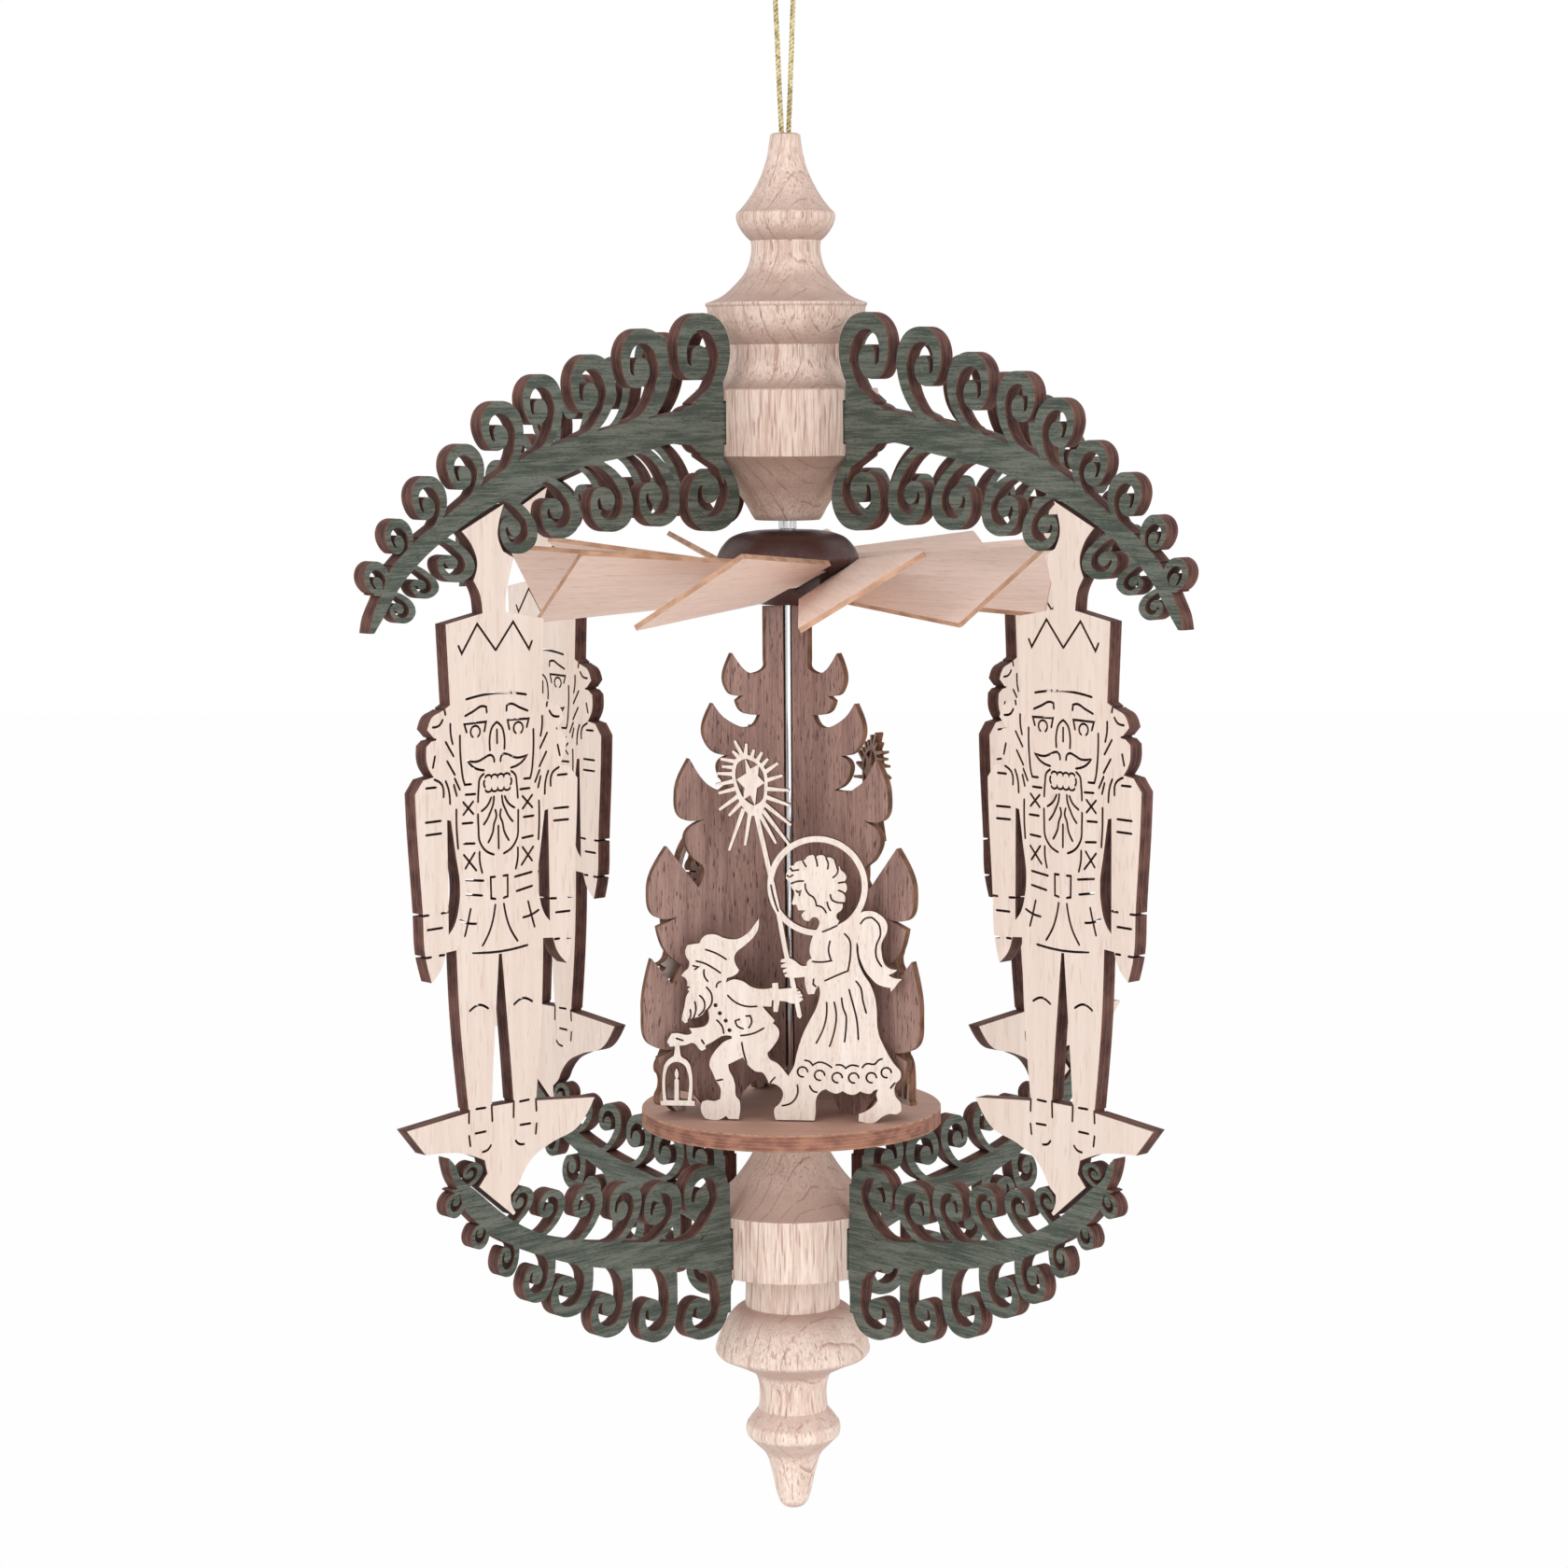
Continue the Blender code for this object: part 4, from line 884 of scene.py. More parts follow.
@dataclass
class TurnedBodies:
    """The upper and the lower turned body, slotted for the side panels."""

    upper_runs: Sequence[Sequence[Point]] = (
        ((0.13, 0.744), (0.164, 0.74)),
        ((0.164, 0.74), (0.178, 0.715), (0.205, 0.679), (0.25, 0.645), (0.316, 0.611), (0.4, 0.577),
         (0.505, 0.546)),
        ((0.505, 0.546), (0.532, 0.54), (0.542, 0.531), (0.53, 0.515), (0.49, 0.496), (0.43, 0.478),
         (0.385, 0.468)),
        ((0.385, 0.468), (0.377, 0.455), (0.385, 0.43), (0.439, 0.391), (0.562, 0.355), (0.702, 0.326),
         (0.883, 0.308)),
        ((0.883, 0.308), (0.886, 0.304), (0.87, 0.297)),
        ((0.87, 0.297), (0.856, 0.275), (0.815, 0.248), (0.745, 0.222), (0.655, 0.2)),
        ((0.655, 0.2), (0.65, 0.17), (0.675, 0.14), (0.745, 0.105), (0.84, 0.0865)),
        ((0.84, 0.0865), (0.99, 0.086)), ((0.99, 0.086), (1, 0.082)), ((1, 0.082), (1, -0.082)),
        ((1, -0.082), (0.995, -0.086)),
        ((0.995, -0.086), (0.83, -0.115), (0.68, -0.15), (0.544, -0.185), (0.44, -0.222), (0.375, -0.25),
         (0.355, -0.256)),
    )
    lower_runs: Sequence[Sequence[Point]] = (
        ((0.3, 0.2765), (0.321, 0.274)),
        ((0.321, 0.274), (0.427, 0.2155), (0.545, 0.172), (0.684, 0.1325), (0.84, 0.102), (0.995, 0.0787)),
        ((0.995, 0.0787), (1, 0.075)), ((1, 0.075), (1, -0.075)), ((1, -0.075), (0.995, -0.0787)),
        ((0.995, -0.0787), (0.556, -0.084)),
        ((0.556, -0.084), (0.53, -0.1), (0.526, -0.13), (0.53, -0.165), (0.532, -0.1842)),
        ((0.532, -0.1842), (0.62, -0.1935), (0.708, -0.2135), (0.8, -0.25), (0.868, -0.295)),
        ((0.868, -0.295), (0.872, -0.303), (0.831, -0.3165)),
        ((0.831, -0.3165), (0.69, -0.331), (0.55, -0.3475), (0.433, -0.3645), (0.385, -0.395),
         (0.378, -0.42), (0.392, -0.4585)),
        ((0.392, -0.4585), (0.46, -0.478), (0.522, -0.4975)),
        ((0.522, -0.4975), (0.535, -0.515), (0.521, -0.5285)),
        ((0.521, -0.5285), (0.42, -0.552), (0.327, -0.5745), (0.245, -0.63), (0.181, -0.6925),
         (0.15, -0.71), (0.105, -0.7195), (0, -0.7235)),
    )
    bore: float = 2.0 * MM
    cord_hole: float = 1.5 * MM
    cup_radius: float = 2.3 * MM
    cup_depth: float = 4.3 * MM

    def profile(self, runs: Sequence[Sequence[Point]], radius: float, height: float, middle: float) -> Loop:
        """Join runs that are smooth inside and meet in sharp edges.

        Args:
            runs: shares of the drum's radius and the body's height.
            radius: the drum's radius.
            height: the body's height.
            middle: the level of the drum's middle.

        Returns:
            The profile's (radius, height) points, top to bottom.
        """
        line: Loop = []
        for run in runs:
            line = line[:-1] + rounded(scaled(run, radius, height, middle), closed=False, corner=180)
        return line

    def slots(self, radius: float, middle: float) -> bpy.types.Mesh:
        """Boxes that cut the four slots for the tongues of a drum."""
        depth = TONGUE_DEPTH + 3 * JOINT_GAP
        sizes = (2 * depth, PANEL_THICKNESS + 2 * JOINT_GAP, TONGUE_HEIGHT + 2 * JOINT_GAP)
        matrices = [Matrix.Rotation(math.radians(azimuth), 4, "Z")
                    @ Matrix.Translation((radius + depth - TONGUE_DEPTH - JOINT_GAP, 0, middle))
                    for azimuth in PLACES.values()]
        return boxes(sizes, matrices)

    def build(self, finishes: Finishes) -> None:
        """Make both bodies."""
        shoulder = FINIAL_TOP - KNOT_DEPTH
        profile = self.profile(self.upper_runs, UPPER_DRUM_RADIUS, UPPER_BODY_HEIGHT, UPPER_MIDDLE)
        profile += [(self.bore, profile[-1][1]), (self.bore, shoulder), (self.cord_hole, shoulder),
                    (self.cord_hole, profile[0][1])]
        # The upper body takes the darker beech copy, whose darker tone is painted shade
        upper = turned("upper_body_turning", profile, finishes.painted_shade_beech, closed=True)
        upper = cut_out(upper, self.slots(UPPER_DRUM_RADIUS, UPPER_MIDDLE))
        deliver("upper_body_turning", upper, Body.CAGE, ["upper_body"])
        outside = self.profile(self.lower_runs, LOWER_DRUM_RADIUS, LOWER_BODY_HEIGHT, LOWER_MIDDLE)
        rim = outside[0][1]
        floor = rim - self.cup_depth
        profile = [(0, floor), (self.cup_radius, floor), (self.cup_radius, rim), *outside]
        lower = turned("lower_body_turning", profile, finishes.beech)
        lower = cut_out(lower, self.slots(LOWER_DRUM_RADIUS, LOWER_MIDDLE))
        deliver("lower_body_turning", lower, Body.CAGE, ["lower_body"])


@dataclass
class Bearings:
    """The steel tube round the axle's top and the brass cup under its point."""

    running_clearance: float = 0.15 * MM
    ease: float = 0.1 * MM
    cup_wall: float = 0.5 * MM
    hollow_depth: float = 2.4 * MM
    hollow_half_depth: float = 1.9 * MM

    def build(self, finishes: Finishes) -> None:
        """Make the tube and the cup in the boxes of their solids."""
        low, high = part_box("upper_bearing_tube")
        outer, inner, ease = high.x, AXLE_RADIUS + self.running_clearance, self.ease
        ring = [(outer - ease, high.z), (outer, high.z - ease), (outer, low.z + ease), (outer - ease, low.z),
                (inner, low.z), (inner, high.z)]
        tube = turned("bearing_tube", ring, finishes.steel, closed=True)
        deliver("bearing_tube", tube, Body.CAGE, ["upper_bearing_tube"])
        low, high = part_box("lower_bearing_cup")
        outer, inner = high.x, high.x - self.cup_wall
        hollow = rounded([(0, high.z - self.hollow_depth), (inner / 2, high.z - self.hollow_half_depth),
                          (inner, high.z)], closed=False)
        cup = turned("bearing_cup", [*hollow, (outer, high.z), (outer, low.z), (0, low.z)], finishes.brass)
        deliver("bearing_cup", cup, Body.CAGE, ["lower_bearing_cup"])


@dataclass
class Branch:
    """A stained branch: a stem with its tongue, and scroll curls above and below it."""

    name: str
    drum_radius: float
    middle: float
    stem_top: Sequence[Point]
    stem_bottom: Sequence[Point]
    top_curls: Sequence[Sequence[float]]
    bottom_curls: Sequence[Sequence[float]]
    swept: tuple[Side, ...] = (Side.ABOVE, Side.BELOW)
    root_depth: float = 0.28
    scroll: Sequence[Point] = (
        (-1, -0.1), (-0.93, 0.32), (-0.7, 0.71), (-0.28, 0.95), (0.2, 0.98), (0.64, 0.76),
        (0.91, 0.34), (0.98, -0.12), (0.93, -0.52), (0.76, -0.86), (0.42, -0.99), (0.06, -0.88),
        (-0.13, -0.62), (-0.16, -0.3), (-0.02, -0.04), (0.22, 0.03), (0.4, -0.08), (0.48, -0.3),
        (0.5, -0.56), (0.6, -0.5), (0.64, -0.18), (0.56, 0.17), (0.36, 0.41), (0.08, 0.49),
        (-0.22, 0.4), (-0.42, 0.18), (-0.51, -0.12), (-0.53, -0.45),
    )
    leg_start: float = -0.45
    turn_share: float = 0.7
    fit: float = 0.98

    def height_at(self, edge: Loop, where: float) -> float:
        """Height of a stem edge at a distance from the axis."""
        for (left, low), (right, high) in zip(edge, edge[1:]):
            if where <= right:
                return low + (high - low) * (where - left) / (right - left)
        return edge[-1][1]

    def curl(self, row: Sequence[float], edge: Loop, side: Side) -> Loop:
        """Outline of one curl, with its leg let into the stem.

        Args:
            row: shares of its centre, half width, half height and its foot's shift.
            edge: the stem's edge that it grows from.
            side: above or below the stem.

        Returns:
            Its closed outline.
        """
        along_share, up_share, wide_share, high_share, shift = row
        (across, up), = panel_points([(along_share, up_share)])
        wide, high = PANEL_WIDTH * wide_share * self.fit, PANEL_SPAN * high_share * self.fit
        rise = self.height_at(edge, across + wide) - self.height_at(edge, across - wide)
        lean = Matrix.Rotation(self.turn_share * math.atan2(rise, 2 * wide), 2)
        root = side.value * (self.height_at(edge, across + shift * wide) - up) / high
        deep = root - self.root_depth

        def down(share: float) -> float:
            """Level at a share of the leg, from the scroll to the stem."""
            return self.leg_start + share * (root - self.leg_start)

        if side in self.swept:
            inner = [(-0.38, down(0.27)), (-0.08, down(0.6)), (0.4, down(0.88)), (0.95, root), (1.2, deep)]
            outer = [(0.5 + shift, deep), (0.15 + shift, root), (-0.36, down(0.72)), (-0.76, down(0.36))]
        else:
            inner = [(-0.42, down(0.5)), (-0.14, down(0.8)), (0.3 + shift, root - 0.02), (0.95 + shift, deep)]
            outer = [(-0.66 + shift, deep), (-0.75 + shift / 2, root), (-0.92, (root - 0.3) / 2)]
        line = []
        for x, y in (*self.scroll, *inner, *outer):
            spot = lean @ Vector((x, side.value * y))
            line.append((across + wide * spot.x, up + high * spot.y))
        return rounded(line, corner=75, step=0.3 * MM)

    def build(self, finishes: Finishes) -> None:
        """Cut the sheet and stand one at each place."""
        inner = self.drum_radius + JOINT_GAP
        half = TONGUE_HEIGHT / 2
        tongue = [(inner, self.middle - half), (inner - TONGUE_DEPTH, self.middle - half),
                  (inner - TONGUE_DEPTH, self.middle + half), (inner, self.middle + half)]
        top, bottom = panel_points(self.stem_top), panel_points(self.stem_bottom)
        stem = [*tongue, *rounded([(inner, top[0][1]), *top[1:]], closed=False),
                *reversed(rounded([(inner, bottom[0][1]), *bottom[1:]], closed=False))]
        curls = [self.curl(row, top, Side.ABOVE) for row in self.top_curls]
        curls += [self.curl(row, bottom, Side.BELOW) for row in self.bottom_curls]
        root = self.drum_root(inner)
        sheet = CutSheet(self.name, PANEL_THICKNESS, [stem, root, *curls])
        mesh = sheet.mesh(finishes.green_face, finishes.panel_edge)
        for place, azimuth in PLACES.items():
            node = f"{self.name}_{place}"
            deliver(f"{node}_sheet", mesh, Body.CAGE, [node], stand(azimuth))

    def drum_root(self, inner: float) -> Loop:
        """The inner strip that joins the stem with the legs of the first curls."""
        line = []
        for row, edge, side in ((self.bottom_curls[0], self.stem_bottom, Side.BELOW),
                                (self.top_curls[0], self.stem_top, Side.ABOVE)):
            (across, level), (_, stem) = panel_points([row[:2], edge[0]])
            wide = PANEL_WIDTH * row[2]
            shares = ((-0.75, 0), (-0.65, 0.4), (-0.2, 0.75), (0.4, 1)) if side in self.swept else (
                (-0.75, 0), (-0.55, 1))
            half = [(max(inner, across + wide * out), level + (stem - level) * down) for out, down in shares]
            line += half if side is Side.BELOW else reversed(half)
        return [(inner, line[0][1]), *line, (inner, line[-1][1])]


def upper_branch() -> Branch:
    """The branch that arches out from the upper drum."""
    return Branch(
        "upper_branch", UPPER_DRUM_RADIUS, UPPER_MIDDLE,
        stem_top=((0, 0.914), (0.173, 0.903), (0.331, 0.892), (0.462, 0.88), (0.568, 0.867),
                  (0.676, 0.844), (0.777, 0.817), (0.867, 0.793), (0.934, 0.766), (0.953, 0.748),
                  (0.978, 0.727), (0.984, 0.715)),
        stem_bottom=((0, 0.863), (0.132, 0.876), (0.271, 0.866), (0.448, 0.853), (0.558, 0.838),
                     (0.625, 0.829), (0.753, 0.803), (0.845, 0.778), (0.905, 0.754), (0.947, 0.729),
                     (0.972, 0.715)),
        top_curls=((0.058, 0.968, 0.08, 0.032, 0), (0.23, 0.957, 0.07, 0.028, 0),
                   (0.378, 0.934, 0.064, 0.027, 0), (0.519, 0.92, 0.056, 0.023, 0),
                   (0.631, 0.897, 0.057, 0.022, 0), (0.73, 0.861, 0.05, 0.02, 0),
                   (0.826, 0.834, 0.046, 0.019, 0), (0.906, 0.801, 0.035, 0.015, 0),
                   (0.965, 0.765, 0.031, 0.014, -0.2)),
        bottom_curls=((0.032, 0.819, 0.079, 0.028, 0), (0.19, 0.82, 0.06, 0.022, 0),
                      (0.327, 0.817, 0.062, 0.022, 0), (0.471, 0.811, 0.055, 0.02, 0),
                      (0.587, 0.797, 0.052, 0.018, 0), (0.755, 0.77, 0.049, 0.014, 0),
                      (0.838, 0.753, 0.036, 0.01, 0), (0.896, 0.733, 0.032, 0.011, 0)))


def lower_branch() -> Branch:
    """The branch that reaches out and up from the lower drum."""
    return Branch(
        "lower_branch", LOWER_DRUM_RADIUS, LOWER_MIDDLE,
        stem_top=((0, 0.098), (0.176, 0.107), (0.307, 0.116), (0.419, 0.125), (0.505, 0.135),
                  (0.571, 0.146), (0.629, 0.16), (0.729, 0.195), (0.776, 0.213), (0.785, 0.222),
                  (0.803, 0.231)),
        stem_bottom=((0, 0.058), (0.126, 0.077), (0.25, 0.086), (0.376, 0.096), (0.48, 0.109),
                     (0.582, 0.127), (0.669, 0.146), (0.738, 0.169), (0.764, 0.182), (0.778, 0.199),
                     (0.792, 0.21), (0.803, 0.227)),
        top_curls=((0.072, 0.152, 0.068, 0.023, 0), (0.202, 0.147, 0.057, 0.021, 0),
                   (0.312, 0.156, 0.048, 0.019, 0), (0.42, 0.164, 0.043, 0.016, 0),
                   (0.522, 0.169, 0.037, 0.014, 0), (0.603, 0.18, 0.03, 0.011, -0.4),
                   (0.738, 0.2145, 0.026, 0.0085, -0.4)),
        swept=(Side.ABOVE,),
        bottom_curls=((0.078, 0.023, 0.068, 0.021, 0), (0.223, 0.033, 0.058, 0.022, 0),
                      (0.359, 0.049, 0.06, 0.022, 0), (0.473, 0.076, 0.059, 0.02, 0),
                      (0.565, 0.095, 0.043, 0.018, 0), (0.648, 0.122, 0.028, 0.014, 0),
                      (0.723, 0.151, 0.024, 0.011, -0.25), (0.789, 0.185, 0.023, 0.011, -0.25)))


def outlines(node: str, matrix: Matrix) -> list[Loop]:
    """Outlines of a flat solid's near face, in the sheet's own plane.

    Args:
        node: the solid's name.
        matrix: the sheet's placing.

    Returns:
        Its closed outlines, the outer one first.
    """
    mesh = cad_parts[node].data
    flat = matrix.inverted()
    side = (matrix.to_3x3() @ Vector((0, 0, 1))).normalized()
    rim: dict[tuple[Point, Point], bool] = {}
    for polygon in mesh.polygons:
        if polygon.normal.dot(side) > FACING:
            corners = [flat @ mesh.vertices[index].co for index in polygon.vertices]
            keys = [(round(corner.x, 6), round(corner.y, 6)) for corner in corners]
            for pair in zip(keys, keys[1:] + keys[:1]):
                rim[pair] = True
    following = {a: b for a, b in rim if (b, a) not in rim}
    loops = []
    while following:
        start, spot = following.popitem()
        loop = [start]
        while spot != start:
            loop.append(spot)
            spot = following.pop(spot)
        loops.append(loop)
    return sorted(loops, key=lambda loop: min(point[0] for point in loop))


@dataclass
class Nutcracker:
    """A nutcracker cut from plywood, with his features as slits."""

    level: float = -161.65 * MM
    centre_share: float = 0.6555
    slit: float = 0.45 * MM
    half_cuts: Sequence[Sequence[Point]] = (
        ((0, 29.5), (4.0, 34.3), (7.5, 29.3), (8.2, 30.7)),
        ((0, 22.0), (3.4, 21.8), (6.7, 21.3)),
        ((2.2, 18.7), (2.3, 19.7), (3.1, 19.9), (5.2, 19.1), (7.0, 18.4)),
        ((2.8, 15.4), (2.4, 17.1), (7.2, 17.0), (6.7, 15.5)),
        ((0, 16.9), (1.0, 16.1), (1.6, 14.4), (1.6, 12.0)),
        ((0, 15.6), (0, 13.1)),
        ((0.7, 9.9), (0.9, 10.8), (1.5, 11.2), (2.6, 10.9), (4.2, 10.3), (6.6, 10.5), (5.6, 9.5),
         (4.4, 8.9), (3.0, 8.6)),
        ((8.2, 15.1), (8.2, 12.5), (8.0, 9.8), (7.5, 6.9), (7.3, 6.4), (5.9, 6.4)),
        ((3.05, 8.0), (3.95, 7.3), (4.25, 5.7), (4.45, 3.1)),
        ((4.5, 1.0), (4.45, -1.2), (4.15, -4.0), (2.9, -5.6), (1.1, -6.45)),
        ((1.5, 3.7), (2.3, 2.4), (3.7, 1.45)),
        ((0.9, 3.85), (1.05, 2.6), (1.7, 1.2), (2.4, 0), (3.25, -0.95)),
        ((0.65, 1.45), (0.4, 0.4), (0.95, -0.95), (1.25, -2.4), (2.3, -4.2)),
        ((0, -1.4), (0, -5.5)),
        ((5.5, 3.35), (7.75, 1.15)), ((7.75, 3.4), (5.5, 1.1)),
        ((5.0, 4.6), (7.2, 4.65)), ((5.7, -0.4), (8.0, -0.35)), ((5.3, -4.1), (7.8, -3.9)),
        ((5.35, -5.7), (7.5, -8.35)), ((7.8, -5.85), (5.05, -8.9)),
        ((4.3, -5.65), (4.25, -7.45), (3.75, -9.45)),
        ((9.25, 2.25), (9.25, -1.2), (9.0, -4.7)),
        ((3.5, -10.85), (7.4, -10.35)), ((3.85, -13.45), (7.45, -12.85)),
        ((0.9, -10.4), (1.9, -10.4), (1.85, -14.15), (0.9, -14.35)),
        ((6.45, -15.5), (7.15, -18.05), (7.85, -20.25)), ((5.25, -18.3), (7.15, -18.0), (8.85, -17.3)),
        ((0.95, -15.35), (1.4, -17.5), (2.3, -19.9), (3.95, -22.35)),
        ((0, -23.8), (2.7, -23.7), (6.15, -23.35)),
        ((12.75, -18.2), (16.0, -18.25)), ((11.5, -15.55), (12.9, -15.65)), ((15.7, -15.7), (17.4, -15.7)),
        ((15.3, -23.1), (16.9, -23.1)), ((12.4, -23.0), (13.5, -23.0)),
        ((2.9, -33.65), (5.0, -32.75), (7.05, -33.6)),
        ((7.55, -51.3), (7.65, -53.55)), ((7.65, -55.8), (7.4, -57.7)), ((2.5, -51.0), (2.4, -53.95)),
        ((3.85, -51.3), (6.0, -51.25)), ((3.9, -55.55), (6.25, -55.6)),
        ((2.8, -58.2), (3.4, -58.85), (4.7, -59.15)),
        ((10.25, 17.3), (10.2, 15.4), (9.8, 13.7)), ((11.35, 14.2), (9.65, 11.55)),
        ((11.1, 10.85), (9.45, 8.3)), ((9.5, 7.7), (8.4, 5.6)), ((11.5, 7.4), (10.9, 5.95), (10.6, 3.3)),
        ((9.7, 6.6), (9.1, 4.6)), ((11.9, 18.1), (12.6, 17.2), (14.1, 16.9)),
        ((13.5, 14.8), (14.6, 14.7)), ((13.7, 11.9), (14.2, 9.9)), ((11.3, 18.9), (11.7, 20.1), (12.8, 20.6)),
        ((12.0, 4.6), (12.3, 6.8), (13.95, 7.85)), ((13.6, 6.45), (15.75, 6.45)),
        ((12.65, 0.55), (16.0, 0.5)), ((12.6, -1.65), (15.95, -1.7)),
        ((2.95, 6.8), (3.1, 6.2), (2.85, 5.6)),
    )
    fine_slit_share: float = 0.9
    pupil: tuple[Point, float] = ((4.8, 15.5), 1.05)
    pupil_sweep: Point = (-60, 240)
    pupil_steps: int = 14
    tooth_count: int = 4
    tooth_steps: int = 6
    tooth_width: float = 1.38
    teeth_levels: Point = (7.25, 5.15)
    tooth_depth: float = 0.45

    def place(self, points: Iterable[Point], mirror: int = 1) -> Loop:
        """Panel points of a cut that is given in millimetres from the middle of the belt."""
        centre = PANEL_INNER + PANEL_WIDTH * self.centre_share
        return [(centre + mirror * across * MM, self.level + up * MM) for across, up in points]

    def teeth(self) -> list[Loop]:
        """The two scalloped lines of the teeth."""
        lines = []
        for level, way in zip(self.teeth_levels, (1, -1)):
            line: Loop = []
            for tooth in range(self.tooth_count):
                middle = (tooth - (self.tooth_count - 1) / 2) * self.tooth_width
                radii = (self.tooth_width / 2, self.tooth_depth)
                bow = arc((middle, level), radii, 180, 0, self.tooth_steps)
                line += [(x, level + way * (y - level)) for x, y in (bow if tooth == 0 else bow[1:])]
            lines.append(stroke(self.place(line), self.slit * self.fine_slit_share, smooth=False))
        return lines

    def cuts(self) -> list[Loop]:
        """Every slit of both halves."""
        slits = self.teeth()
        centre, radius = self.pupil
        for mirror in (1, -1):
            slits += [stroke(self.place(points, mirror), self.slit) for points in self.half_cuts]
            ring = arc(centre, radius, *self.pupil_sweep, self.pupil_steps)
            slits.append(stroke(self.place(ring, mirror), self.slit * self.fine_slit_share, smooth=False))
        return slits

    def build(self, finishes: Finishes) -> None:
        """Cut the sheet and stand one at each place."""
        first = next(iter(PLACES))
        outer, *holes = outlines(f"nutcracker_{first}", stand(PLACES[first]))
        sheet = CutSheet("nutcracker", PANEL_THICKNESS, [rounded(outer, corner=40)],
                         [rounded(hole, corner=50) for hole in holes] + self.cuts())
        mesh = sheet.mesh(finishes.pale_face, finishes.panel_edge)
        for place, azimuth in PLACES.items():
            node = f"nutcracker_{place}"
            deliver(f"{node}_sheet", mesh, Body.CAGE, [node], stand(azimuth))


